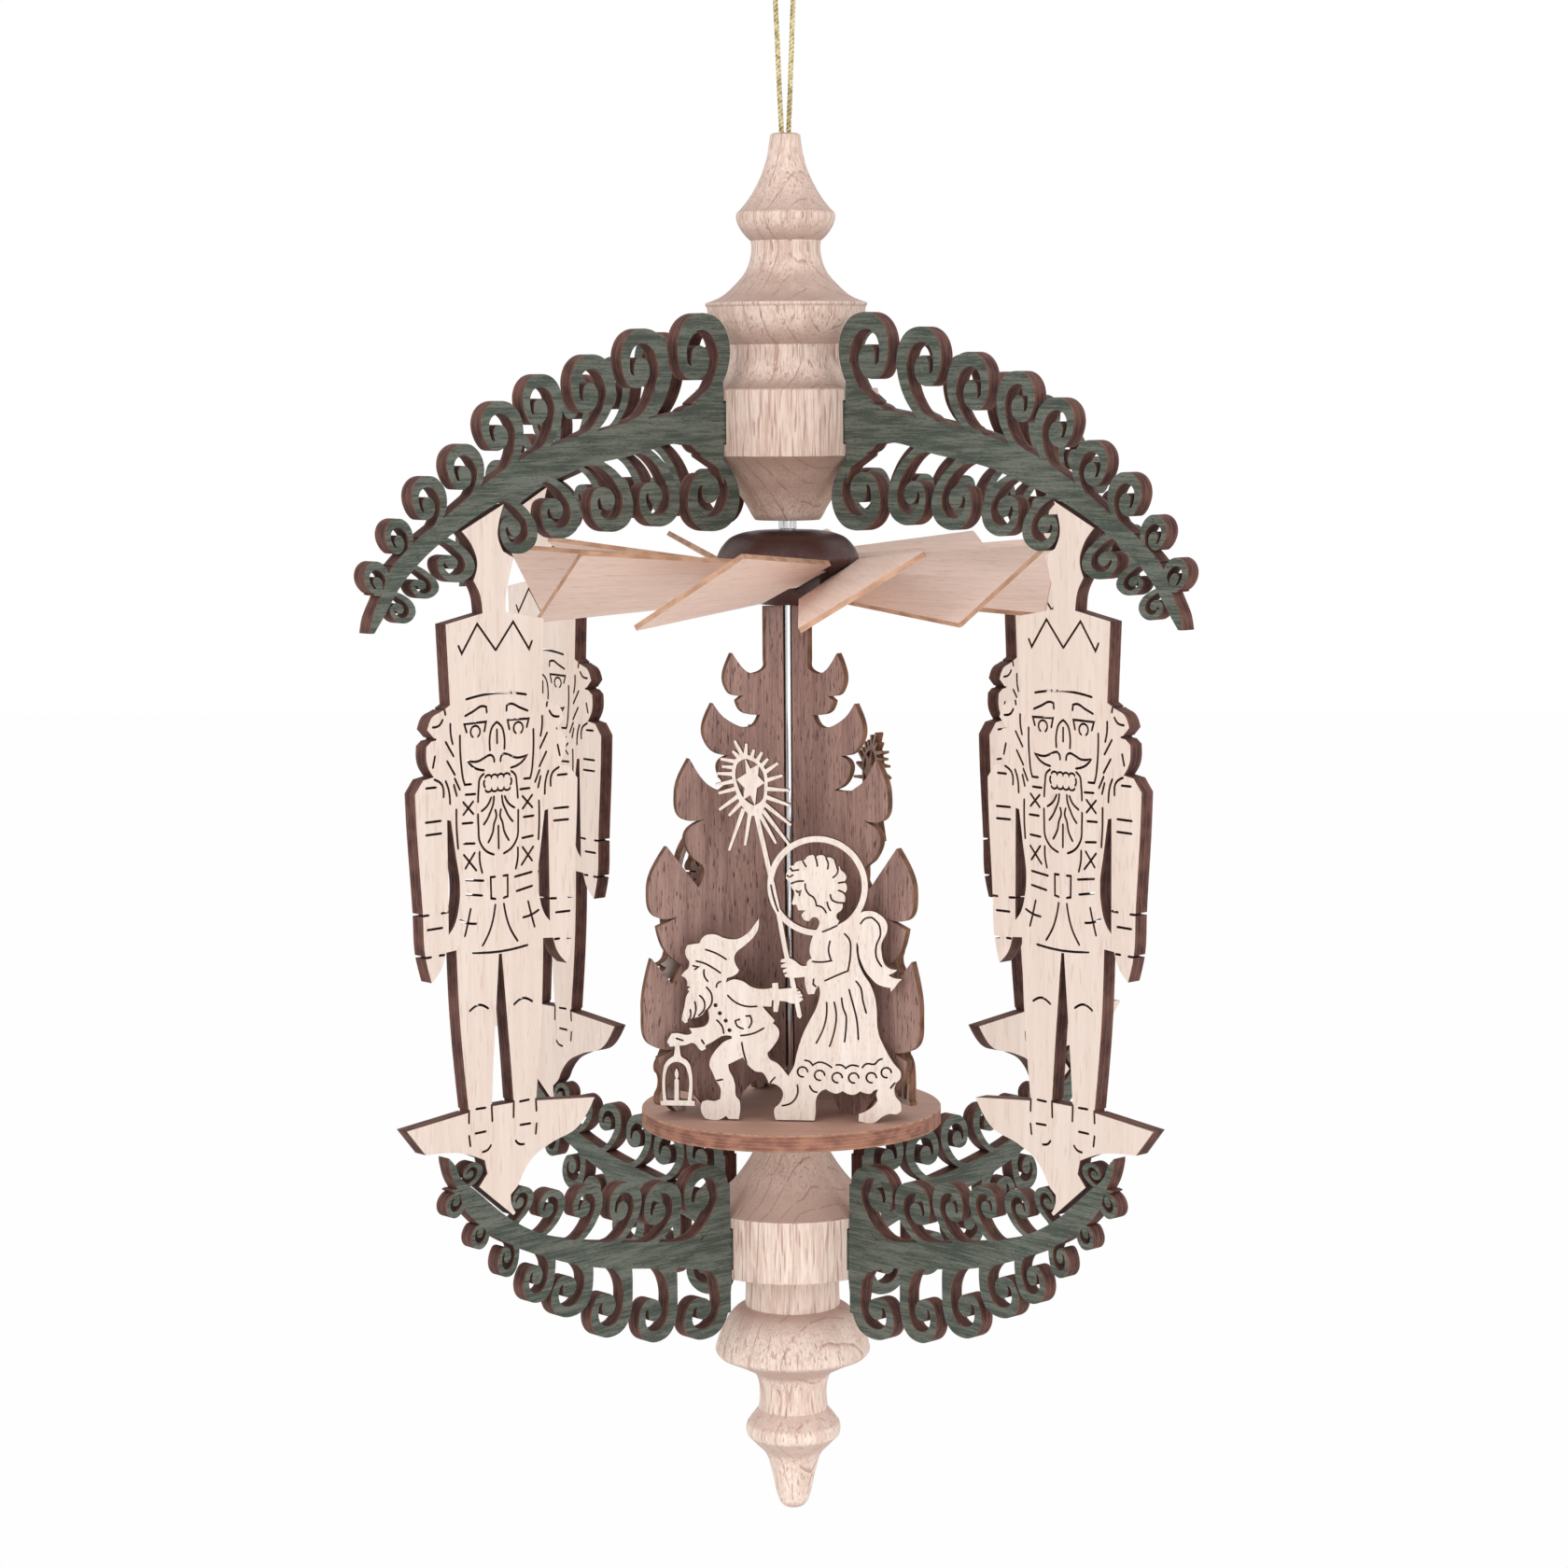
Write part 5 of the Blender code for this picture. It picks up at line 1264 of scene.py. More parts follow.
@dataclass(frozen=True)
class FigurePanel:
    """A gnome with a lantern and a star staff before an angel, in millimetres above the turntable."""

    gnome: Sequence[Point] = (
        (-4.0, 38.1), (-4.2, 36.0), (-4.8, 34.9), (-6.8, 32.9), (-8.4, 31.5), (-8.7, 30.7), (-8.6, 29.8),
        (-7.8, 28.3), (-8.1, 27.8), (-10.1, 26.8), (-10.3, 25.9), (-9.0, 26.5), (-7.2, 26.2), (-5.4, 25.1),
        (-4.2, 24.8), (-2.8, 24.8), (-1.6, 25.0), (-1.6, 25.9), (-0.5, 26.0), (-0.4, 24.8), (0.7, 24.9),
        (2.9, 25.0), (3.4, 24.8), (2.5, 24.4), (3.6, 24.5), (3.8, 24.1), (2.8, 23.8), (3.9, 24.0),
        (4.1, 23.5), (3.0, 23.2), (4.0, 23.3), (4.2, 22.9), (3.3, 22.3), (2.3, 22.1), (0.8, 22.5),
        (-0.2, 22.6), (-0.6, 20.5), (-1.4, 20.5), (-1.4, 22.4), (-1.7, 21.5), (-3.5, 21.5), (-2.1, 19.9),
        (-1.2, 18.9), (-1.5, 18.3), (-0.9, 17.8), (-0.4, 17.0), (-0.4, 16.0), (-1.4, 14.1), (-2.6, 12.7),
        (-2.4, 11.8), (-0.7, 10.7), (1.4, 8.3), (3.9, 5.9), (3.8, 0), (-1.1, 0), (-1.4, 1.2), (-1.3, 2.2),
        (-0.5, 3.0), (0.2, 4.2), (0.3, 5.2), (-0.8, 6.6), (-2.4, 7.0), (-3.0, 8.3), (-3.6, 9.0), (-4.7, 9.1),
        (-5.5, 9.6), (-6.6, 10.8), (-7.2, 11.8), (-8.6, 11.1), (-10.0, 10.4), (-9.8, 9.2), (-9.2, 8.1),
        (-8.8, 6.8), (-8.4, 4.1), (-8.0, 3.7), (-7.8, 2.6), (-8.1, 0), (-10.0, 0), (-10.5, 0.6), (-11.4, 0),
        (-14.4, 0), (-15.1, 1.1), (-15.2, 2.5), (-15.0, 3.2), (-14.2, 3.5), (-12.6, 3.4), (-11.6, 3.8),
        (-11.5, 5.8), (-12.4, 7.4), (-13.0, 8.9), (-13.5, 9.9), (-13.4, 11.2), (-12.6, 12.7), (-11.7, 13.8),
        (-10.7, 14.7), (-9.3, 15.3), (-9.3, 15.8), (-10.5, 15.9), (-13.2, 14.5), (-14.3, 13.9),
        (-14.2, 13.3), (-15.0, 12.9), (-15.7, 13.5), (-16.1, 14.1), (-16.8, 14.4), (-17.9, 14.0),
        (-19.2, 13.8), (-21.0, 13.6), (-21.5, 14.5), (-21.1, 15.4), (-20.6, 16.1), (-19.6, 16.2),
        (-17.9, 15.9), (-17.2, 16.0), (-16.8, 16.3), (-17.3, 17.2), (-15.5, 17.3), (-14.4, 17.6),
        (-14.0, 17.9), (-13.7, 20.7), (-14.2, 20.8), (-14.9, 19.7), (-15.7, 19.3), (-16.5, 19.1),
        (-17.0, 19.0), (-17.7, 18.3), (-18.1, 18.1), (-18.7, 18.7), (-18.5, 19.9), (-18.2, 21.1),
        (-17.7, 23.4), (-17.2, 24.2), (-17.6, 24.5), (-17.0, 25.0), (-17.6, 25.2), (-17.7, 26.3),
        (-18.7, 27.1), (-18.1, 27.9), (-17.5, 28.4), (-17.2, 29.8), (-17.8, 30.8), (-17.9, 31.8),
        (-17.5, 32.9), (-15.2, 33.3), (-14.8, 34.1), (-14.2, 34.7), (-13.2, 35.0), (-12.0, 34.9),
        (-10.8, 34.4), (-9.4, 34.1), (-8.0, 34.2), (-6.8, 34.8), (-5.7, 35.7), (-4.9, 36.8),
    )
    lantern: Sequence[Point] = (
        (-20.0, 14.2), (-20.1, 12.9), (-20.3, 11.8), (-21.0, 11.4), (-21.7, 10.7), (-22.1, 10.0),
        (-22.3, 9.1), (-22.4, 3.3), (-22.85, 3.2), (-22.85, 2.4), (-16.4, 2.4), (-16.4, 3.3), (-17.0, 3.4),
        (-17.0, 9.2), (-17.2, 10.1), (-17.8, 11.0), (-18.9, 11.8), (-19.1, 12.8), (-19.2, 14.2),
    )
    lantern_hole: Sequence[Point] = (
        (-21.75, 3.4), (-21.7, 8.9), (-21.4, 9.8), (-20.8, 10.4), (-19.8, 10.75), (-18.8, 10.5),
        (-18.1, 9.9), (-17.75, 9.0), (-17.75, 3.4), (-19.4, 3.4), (-19.4, 7.3), (-19.65, 7.5), (-19.4, 8.4),
        (-19.8, 9.5), (-20.15, 8.4), (-19.9, 7.5), (-20.2, 7.3), (-20.25, 3.4),
    )
    staff: Sequence[Point] = ((-4.3, 57.4), (-2.4, 48.9), (-0.4, 39.5), (1.1, 31.2), (2.1, 26.9), (3.5, 19.7))
    staff_width: float = 0.85
    halo_centre: Point = (7.0, 44.27)
    halo_radius: float = 9.36
    halo_width: float = 1.1
    halo_starts: Point = (-80, 100)
    halo_sweep: float = 200
    star: Sequence[Point] = (
        (-6.5, 68.7), (-4.1, 67.8), (-2.5, 65.7), (-2.2, 62.8), (-2.6, 59.8), (-3.4, 57.4), (-5.6, 57.3),
        (-7.3, 59.6), (-8.3, 62.4), (-8.9, 65.4), (-8.2, 67.9),
    )
    star_hole: Sequence[Point] = (
        (-6.3, 68.0), (-4.3, 67.1), (-3.0, 65.3), (-2.8, 62.8), (-3.3, 60.2), (-4.8, 59.2), (-6.6, 60.5),
        (-7.7, 62.7), (-8.2, 65.3), (-7.6, 67.3),
    )
    inner_star: Sequence[Point] = (
        (-6.4, 68.2), (-5.4, 66.1), (-3.7, 67.0), (-4.0, 64.8), (-2.75, 63.5), (-4.2, 62.5), (-4.6, 59.1),
        (-5.4, 61.2), (-6.8, 60.3), (-6.5, 62.5), (-8.0, 64.1), (-6.2, 65.2),
    )
    rays: Sequence[tuple[Point, Point]] = (
        ((-6.9, 68.6), (-8.3, 71.3)), ((-6.3, 68.3), (-6.1, 70.8)), ((-5.2, 68.0), (-4.7, 69.7)),
        ((-4.2, 67.4), (-3.2, 69.2)), ((-3.5, 66.4), (-2.1, 68.0)), ((-2.8, 65.4), (-0.2, 67.2)),
        ((-2.6, 63.9), (0.6, 64.9)), ((-2.4, 62.4), (1.8, 62.1)), ((-2.6, 60.9), (1.9, 59.3)),
        ((-2.9, 59.6), (2.1, 55.6)), ((-3.1, 58.3), (1.8, 51.9)), ((-3.7, 57.6), (-0.7, 52.2)),
        ((-5.5, 57.9), (-6.5, 51.8)), ((-6.7, 58.6), (-9.5, 50.8)), ((-7.2, 59.7), (-9.5, 57.3)),
        ((-7.7, 61.0), (-11.3, 58.4)), ((-8.1, 62.4), (-11.4, 61.5)), ((-8.5, 63.8), (-12.0, 63.0)),
        ((-8.6, 65.1), (-11.6, 65.2)), ((-8.2, 66.3), (-10.7, 66.5)), ((-7.9, 67.4), (-11.0, 67.9)),
        ((-7.5, 68.2), (-8.7, 69.4)),
    )
    ray_widths: Point = (0.8, 0.45)
    angel: Sequence[Point] = (
        (10.6, 36.9), (11.0, 37.8), (10.5, 38.4), (10.6, 39.1), (11.4, 39.8), (11.7, 40.5), (11.6, 41.1),
        (12.1, 41.4), (12.1, 42.4), (11.9, 42.8), (12.4, 43.5), (12.4, 44.5), (12.1, 45.1), (12.4, 45.9),
        (12.0, 46.8), (11.4, 47.3), (11.1, 48.1), (10.6, 47.4), (10.3, 48.4), (9.9, 49.4), (9.1, 49.7),
        (8.7, 49.4), (8.2, 50.0), (7.2, 50.0), (6.7, 49.6), (6.2, 50.1), (5.3, 49.9), (4.5, 49.1),
        (3.8, 49.0), (2.9, 48.6), (2.6, 48.1), (2.0, 48.0), (1.6, 47.2), (1.2, 46.6), (1.1, 45.6),
        (1.9, 44.8), (2.1, 44.0), (2.6, 43.3), (2.5, 42.0), (2.2, 41.0), (2.4, 40.7), (3.0, 40.8),
        (3.4, 39.7), (4.7, 39.7), (4.0, 38.9), (4.2, 38.2), (4.7, 37.8), (5.4, 37.7), (6.1, 38.4),
        (6.8, 38.4), (7.3, 37.7), (7.1, 36.6), (6.4, 35.6), (5.8, 34.1), (5.5, 31.7), (5.8, 30.7),
        (5.0, 30.0), (4.9, 29.3), (4.2, 29.2), (2.6, 30.2), (1.9, 30.6), (0.1, 30.4), (0.0, 29.9),
        (1.2, 29.8), (0.1, 29.4), (0.1, 28.9), (1.3, 28.9), (0.4, 28.4), (0.5, 27.9), (1.4, 28.0),
        (0.7, 27.5), (0.9, 27.1), (2.6, 27.0), (4.5, 27.2), (4.6, 25.7), (5.1, 23.9), (6.3, 24.0),
        (6.6, 24.9), (7.1, 25.6), (7.3, 25.0), (7.1, 22.7), (6.7, 21.5), (5.2, 18.6), (4.4, 17.0),
        (3.6, 14.9), (2.9, 12.5), (2.4, 10.3), (1.3, 8.0), (2.5, 5.0), (2.5, 0), (6.2, 0), (6.4, 1.4),
        (6.8, 4.8), (7.6, 5.7), (8.4, 6.0), (9.2, 5.5), (10.4, 5.2), (11.5, 5.7), (12.4, 5.2), (13.5, 5.0),
        (14.8, 5.7), (15.9, 5.3), (16.8, 5.3), (17.4, 5.9), (18.2, 6.1), (17.8, 5.2), (18.0, 4.0),
        (17.2, 2.9), (15.6, 1.8), (14.5, 1.4), (14.5, 0), (17.8, 0), (18.6, 0.7), (20.3, 1.5),
        (21.7, 1.5), (22.5, 2.2), (22.4, 3.5), (21.4, 4.9), (21.2, 6.2), (21.5, 7.3), (22.3, 8.2),
        (22.4, 9.3), (21.2, 10.9), (20.4, 12.1), (19.0, 14.8), (18.5, 15.9), (18.1, 17.6), (17.9, 21.6),
        (17.7, 23.1), (16.8, 25.8), (15.3, 28.2), (14.7, 29.6), (14.3, 31.4), (14.2, 33.4), (14.6, 35.0),
        (14.4, 38.4), (12.8, 38.1), (11.6, 37.5),
    )
    wing: Sequence[Point] = (
        (13.7, 34.9), (13.6, 38.2), (14.5, 39.0), (15.3, 39.5), (16.3, 39.7), (17.4, 39.6), (18.3, 39.2),
        (19.1, 38.6), (19.7, 37.9), (20.0, 36.9), (19.9, 35.9), (19.5, 34.9), (19.0, 34.0), (18.8, 32.9),
        (18.9, 31.8), (19.1, 30.6), (19.6, 29.5), (20.5, 28.9), (21.8, 28.7), (21.2, 28.2), (20.1, 27.7),
        (21.0, 27.2), (22.7, 27.0), (21.9, 26.2), (21.4, 25.5), (20.6, 24.6), (20.5, 25.3), (19.0, 25.6),
        (17.9, 26.1), (17.0, 27.0), (16.0, 28.2), (15.3, 29.6), (14.7, 31.4), (14.5, 33.4),
    )
    cuts: Sequence[Sequence[Point]] = (
        ((-14.1, 32.1), (-12.3, 31.5), (-10.2, 30.3)),
        ((-15.9, 29.9), (-14.6, 29.6), (-12.8, 28.7), (-11.3, 27.7)),
        ((-16.5, 29.0), (-15.5, 28.8), (-16.2, 28.3)),
        ((-14.4, 28.3), (-14.4, 27.2), (-13.7, 26.1)),
        ((-11.3, 26.1), (-11.9, 25.7), (-12.1, 25.0)),
        ((-14.0, 25.0), (-13.1, 23.8), (-13.1, 21.8), (-13.9, 20.7)),
        ((-15.3, 23.4), (-14.5, 22.5), (-14.5, 20.7), (-15.5, 19.6)),
        ((-16.2, 22.2), (-16.0, 20.9), (-16.5, 19.1)), ((-17.1, 20.7), (-17.0, 19.6), (-17.5, 18.6)),
        ((-10.0, 23.5), (-8.7, 22.3), (-6.7, 21.5), (-4.5, 21.5)),
        ((-12.1, 18.8), (-11.0, 17.4), (-10.8, 16.3)),
        ((-7.8, 19.0), (-8.6, 18.7), (-8.3, 17.8), (-7.1, 17.2)),
        ((-6.6, 19.6), (-5.8, 19.7), (-5.5, 18.5), (-6.1, 17.4)),
        ((-7.6, 15.9), (-5.4, 16.3), (-3.2, 17.4)), ((-7.4, 14.6), (-7.1, 12.8), (-6.5, 10.7)),
        ((-1.5, 22.6), (-1.6, 21.5)), ((-15.0, 15.0), (-14.5, 14.2)), ((-19.8, 15.2), (-18.5, 14.8)),
        ((-12.2, 7.3), (-11.1, 7.5)), ((-2.1, 7.1), (-1.2, 8.1)),
        ((3.0, 6.7), (3.0, 4.9), (1.9, 3.3), (0.1, 2.7)), ((5.3, 6.6), (6.1, 5.5), (6.7, 5.4)),
        ((21.3, 7.4), (20.5, 6.4)), ((-1.7, 44.4), (-1.2, 42.0), (-0.4, 39.5)),
        ((4.3, 48.9), (4.9, 47.9)), ((6.6, 49.8), (6.9, 48.8), (7.0, 48.0)),
        ((8.6, 49.5), (9.0, 48.7), (8.9, 47.5)), ((10.8, 47.9), (10.7, 46.7), (9.9, 45.9)),
        ((10.9, 44.9), (12.1, 45.1)), ((10.9, 43.5), (11.5, 43.3), (12.1, 42.9)),
        ((9.4, 42.7), (9.7, 41.7), (10.5, 41.3), (11.8, 41.2)), ((8.8, 41.3), (9.0, 40.4), (9.4, 39.7)),
        ((1.8, 47.8), (2.3, 47.1), (3.5, 47.3)), ((1.3, 46.2), (1.9, 46.0), (2.4, 46.3)),
        ((2.1, 44.7), (3.1, 45.1), (4.4, 45.2)),
        ((4.7, 44.7), (4.8, 43.7), (5.4, 42.7), (6.2, 42.2), (6.8, 40.6), (7.7, 40.4), (8.6, 39.3)),
        ((3.0, 43.4), (3.3, 43.1), (3.8, 43.3), (3.6, 42.5)), ((7.9, 35.7), (8.9, 36.1), (10.6, 36.9)),
        ((12.0, 35.4), (12.9, 34.3), (13.1, 31.8), (12.6, 28.4), (10.2, 27.4), (8.3, 26.5)),
        ((9.3, 34.0), (9.0, 32.2), (9.5, 30.3), (7.6, 30.0), (6.0, 30.1)),
        ((6.2, 26.8), (6.1, 25.8), (6.6, 25.4)),
        ((15.0, 37.3), (15.9, 38.3), (17.1, 38.5), (18.4, 37.2), (18.7, 35.4), (17.9, 33.1), (17.9, 31.1),
         (18.9, 29.3)),
        ((8.6, 22.4), (8.6, 20.6), (8.1, 17.9), (6.6, 14.7)),
        ((10.0, 22.5), (10.4, 19.9), (10.0, 17.0), (9.1, 14.1)),
        ((11.4, 23.3), (11.7, 21.3), (12.2, 20.0), (12.2, 17.9), (11.9, 15.0)),
        ((12.8, 24.9), (13.5, 22.2), (14.1, 19.8), (14.5, 15.5)),
        ((14.1, 26.5), (14.9, 25.4), (15.4, 22.7), (16.0, 20.5)),
        ((4.4, 11.4), (5.3, 11.2), (5.9, 10.5), (7.1, 11.1), (8.4, 10.8), (9.5, 10.1)),
        ((10.3, 10.6), (11.3, 10.6), (12.1, 10.0), (13.1, 10.6), (14.5, 10.4)),
        ((15.2, 10.2), (15.9, 10.9), (17.6, 10.9), (18.2, 11.6), (18.9, 11.9)),
    )
    eyelets: Sequence[Point] = ((4.0, 9.2), (7.2, 8.6), (10.5, 8.2), (13.6, 8.2), (16.9, 8.3), (19.7, 9.3))
    eyelet_radius: float = 0.95
    eyelet_sweep: float = 280
    buttons: Sequence[Point] = ((-12.3, 21.6), (-11.5, 20.1), (-10.4, 18.7), (-9.7, 16.9))
    button_radius: float = 0.4
    button_sweep: float = 330
    button_steps: int = 11
    outline_corner: float = 48
    outline_step: float = 0.3 * MM
    slit: float = 0.36

    def place(self, points: Iterable[Point], base: float) -> Loop:
        """Points in the sheet's plane, in metres, from millimetres above a level."""
        return [(across * MM, base + up * MM) for across, up in points]

    def sheet(self, thickness: float, base: float) -> CutSheet:
        """The cut sheet.

        Args:
            thickness: the sheet's thickness.
            base: the level that it stands on.

        Returns:
            The sheet in its own plane.
        """
        def smooth(points: Sequence[Point]) -> Loop:
            """A fine outline with its sharp corners kept."""
            return rounded(self.place(points, base), corner=self.outline_corner,
                           step=self.outline_step)

        def plain(points: Sequence[Point]) -> Loop:
            """An outline taken as it is."""
            return self.place(points, base)

        solids = [smooth(self.gnome), smooth(self.angel), smooth(self.wing), smooth(self.lantern)]
        solids += [smooth(self.star), stroke(plain(self.staff), self.staff_width * MM)]
        solids += [plain(taper(root, tip, *self.ray_widths)) for root, tip in self.rays]
        solids += [plain(band(self.halo_centre, self.halo_radius, self.halo_width, start,
                              start + self.halo_sweep))
                   for start in self.halo_starts]
        holes = [smooth(self.lantern_hole), smooth(self.star_hole)]
        holes += [stroke(plain(points), self.slit * MM) for points in self.cuts]
        rings = [plain(arc(spot, self.eyelet_radius, 0, self.eyelet_sweep)) for spot in self.eyelets]
        holes += [stroke(ring, self.slit * MM, smooth=False) for ring in rings]
        holes += [plain(arc(spot, self.button_radius, 0, self.button_sweep, self.button_steps))
                  for spot in self.buttons]
        return CutSheet("figure_group", thickness, solids, holes, [plain(self.inner_star)])


@dataclass
class Stage:
    """What stands on the turntable: three half trees and three figure panels."""

    first_tree: float = 85.2
    count: int = 3
    offset: float = 15.0 * MM
    thickness: float = STAGE_THICKNESS
    base: float = -223.21 * MM
    trunk_slack: float = 0.1 * MM
    neck_share: float = 0.12
    leaf_corner: float = 78.0
    figure_lag: float = 90.0

    def places(self, name: str, first: float) -> Iterable[tuple[str, float]]:
        """Each copy's node and its azimuth, at equal turns from a first azimuth."""
        for index in range(self.count):
            yield f"{name}_{index + 1}", first + 360 / self.count * index

    def build_trees(self, finishes: Finishes) -> None:
        """Cut the half trees."""
        (outer, *_) = outlines("half_tree_1", stand(self.first_tree))
        inner = [spot for spot in outer if spot[0] < min(outer)[0] + self.trunk_slack]
        foot = outer.index(min(inner, key=lambda spot: spot[1]))
        *leaves, fork, neck, crown = outer[foot:] + outer[:foot]
        straight_from = tuple(Vector(fork).lerp(Vector(neck), self.neck_share))
        leafy = rounded([*leaves, fork, straight_from, neck, crown], closed=False, corner=self.leaf_corner)
        sheet = CutSheet("half_tree", self.thickness, [leafy])
        mesh = sheet.mesh(finishes.walnut_face, finishes.thin_edge)
        for node, azimuth in self.places("half_tree", self.first_tree):
            deliver(f"{node}_sheet", mesh, Body.ROTOR, [node], stand(azimuth))

    def build_figures(self, finishes: Finishes) -> None:
        """Cut the figure panels."""
        mesh = FigurePanel().sheet(self.thickness, self.base).mesh(finishes.figure_face, finishes.thin_edge)
        for node, azimuth in self.places("figure_group", self.first_tree - self.figure_lag):
            deliver(f"{node}_sheet", mesh, Body.ROTOR, [node], stand(azimuth, self.offset))


@dataclass
class Fan:
    """The dark hub and the ring of pitched blades that are let into it."""

    count: int = 10
    first: float = -81.2
    reach: float = 49.1 * MM
    tip_width: float = 25.9 * MM
    thickness: float = BLADE_THICKNESS
    pitch: float = 30.6
    hub_radius: float = 13.4 * MM
    hub_height: float = 13.8 * MM
    hub_bottom: float = -127.45 * MM
    hub_shares: Sequence[Point] = (
        (0.44, 1), (0.48, 0.995), (0.7, 0.95), (0.81, 0.9), (0.9, 0.815), (0.97, 0.71), (1, 0.61),
        (0.985, 0.56), (0.95, 0.51), (0.72, 0.27), (0.44, 0.01), (0.41, 0),
    )
    tongue_shares: tuple[float, float, float] = (0.313, -0.15, 0.3)
    side_share: float = 0.537
    level_share: float = 0.355
    root_low_share: Point = (0.88, -0.554)
    root_high_share: Point = (0.522, 0.485)
    tip_ease: float = 0.35 * MM
    slot_overrun: float = 2.0 * MM

    def pose(self) -> Matrix:
        """Placing of the blade whose azimuth is zero."""
        level = self.hub_bottom + self.level_share * self.hub_height
        return (Matrix.Translation((0, self.side_share * self.hub_radius, level))
                @ Matrix.Rotation(math.radians(self.pitch), 4, "X"))

    def blade(self, finishes: Finishes) -> bpy.types.Mesh:
        """One blade at azimuth zero, with a tongue at its root."""
        shares = (self.root_low_share, self.root_high_share)
        (low_x, low_y), (high_x, high_y) = scaled(shares, self.hub_radius, self.hub_radius)
        inner, tongue_low, tongue_high = (self.hub_radius * share for share in self.tongue_shares)
        slope = (high_x - low_x) / (high_y - low_y)
        half, ease = self.tip_width / 2, self.tip_ease
        outline = [(low_x, low_y), (self.reach - ease, -half), (self.reach, ease - half),
                   (self.reach, half - ease), (self.reach - ease, half), (high_x, high_y),
                   (low_x + slope * (tongue_high - low_y), tongue_high), (inner, tongue_high),
                   (inner, tongue_low), (low_x + slope * (tongue_low - low_y), tongue_low)]
        mesh = CutSheet("blade", self.thickness, [outline]).mesh(finishes.blade_face, finishes.blade_edge)
        cap = mesh.attributes.new("cap", "BOOLEAN", "FACE")
        cap.data.foreach_set("value", [polygon.material_index == 0 for polygon in mesh.polygons])
        mesh.transform(self.pose())
        return mesh

    def ring(self, finishes: Finishes) -> Recipe:
        """The node tree that sets a blade at equal turns round the axis."""
        recipe = Recipe("blade_ring", {"Blade": "Object", "Count": "Int", "First turn": "Float"})
        index = Number(recipe, recipe.add("GeometryNodeInputIndex").outputs[0])
        angle = recipe.number("First turn") + index * FULL_TURN / recipe.number("Count")
        turn = recipe.add("ShaderNodeCombineXYZ", {}, {"Z": angle}).outputs[0]
        rotation = recipe.add("FunctionNodeEulerToRotation", {}, {0: turn}).outputs[0]
        points = recipe.add("GeometryNodePoints", {}, {"Count": recipe.given["Count"]}).outputs[0]
        blade = recipe.add("GeometryNodeObjectInfo", {}, {"Object": recipe.given["Blade"]})
        placed = recipe.add("GeometryNodeInstanceOnPoints", {}, {
            "Points": points, "Instance": blade.outputs["Geometry"], "Rotation": rotation}).outputs[0]
        cap = recipe.add("GeometryNodeInputNamedAttribute", {"data_type": "BOOLEAN"}, {"Name": "cap"})
        edged = recipe.painted(recipe.real(placed), finishes.blade_edge)
        return recipe.end(recipe.painted(edged, finishes.blade_face, Selection=cap.outputs["Attribute"]))

    def build(self, finishes: Finishes) -> None:
        """Make the hub and the blades."""
        source = temporary(self.blade(finishes))
        host = temporary(bpy.data.meshes.new("fan_blades"))
        blades = self.ring(finishes).run(host, {
            "Blade": source, "Count": self.count, "First turn": math.radians(self.first)})
        bpy.data.objects.remove(source)
        deliver("fan_blades", blades, Body.ROTOR,
                [f"blade_{index + 1}" for index in range(self.count)])
        profile = rounded(scaled(self.hub_shares, self.hub_radius, self.hub_height, self.hub_bottom),
                          closed=False, corner=35)
        bore = AXLE_RADIUS + JOINT_GAP
        profile += [(bore, profile[-1][1]), (bore, profile[0][1])]
        hub = turned("hub_turning", profile, finishes.dark_wood, closed=True)
        inner, low, high = (self.hub_radius * share for share in self.tongue_shares)
        start, end = inner - JOINT_GAP, self.hub_radius + self.slot_overrun
        sizes = (end - start, high - low + 2 * JOINT_GAP, self.thickness + 2 * JOINT_GAP)
        middle = Matrix.Translation(((start + end) / 2, (low + high) / 2, 0))
        turns = (math.radians(self.first) + FULL_TURN / self.count * index for index in range(self.count))
        hub = cut_out(hub, boxes(sizes, [Matrix.Rotation(turn, 4, "Z") @ self.pose() @ middle
                                         for turn in turns]))
        deliver("hub_turning", hub, Body.ROTOR, ["blade_hub"])


@dataclass
class Carrier:
    """The steel axle and the round plywood turntable."""

    ease: float = 0.15 * MM
    point_radius: float = 0.25 * MM
    point_length: float = 1.9 * MM

    def build(self, finishes: Finishes) -> None:
        """Make both in the boxes of their solids."""
        low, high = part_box("axle")
        rod = [(0, high.z), (AXLE_RADIUS - self.ease, high.z), (AXLE_RADIUS, high.z - self.ease),
               (AXLE_RADIUS, low.z + self.point_length), (self.point_radius, low.z + self.point_radius / 2),
               (self.point_radius / 2, low.z), (0, low.z)]
        deliver("axle_rod", turned("axle_rod", rod, finishes.steel), Body.ROTOR, ["axle"])
        low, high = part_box("turntable")
        radius, bore = high.x, AXLE_RADIUS + JOINT_GAP
        middle, half = (high.z + low.z) / 2, (high.z - low.z) / 2
        profile = [(radius - self.ease, half), (radius, half - self.ease), (radius, self.ease - half),
                   (radius - self.ease, -half), (bore, -half), (bore, half)]
        plate = turned("turntable_disc", profile, finishes.turntable_face, steps=180, closed=True)
        grain = plate.attributes.new("grain", "FLOAT_VECTOR", "POINT")
        grain.data.foreach_set("vector", [value for vert in plate.vertices for value in vert.co])
        plate.materials.append(finishes.turntable_edge)
        for polygon in plate.polygons:
            polygon.material_index = 0 if abs(polygon.normal.z) > FACING else 1
        plate.transform(Matrix.Translation((0, 0, middle)))
        deliver("turntable_disc", plate, Body.ROTOR, ["turntable"])


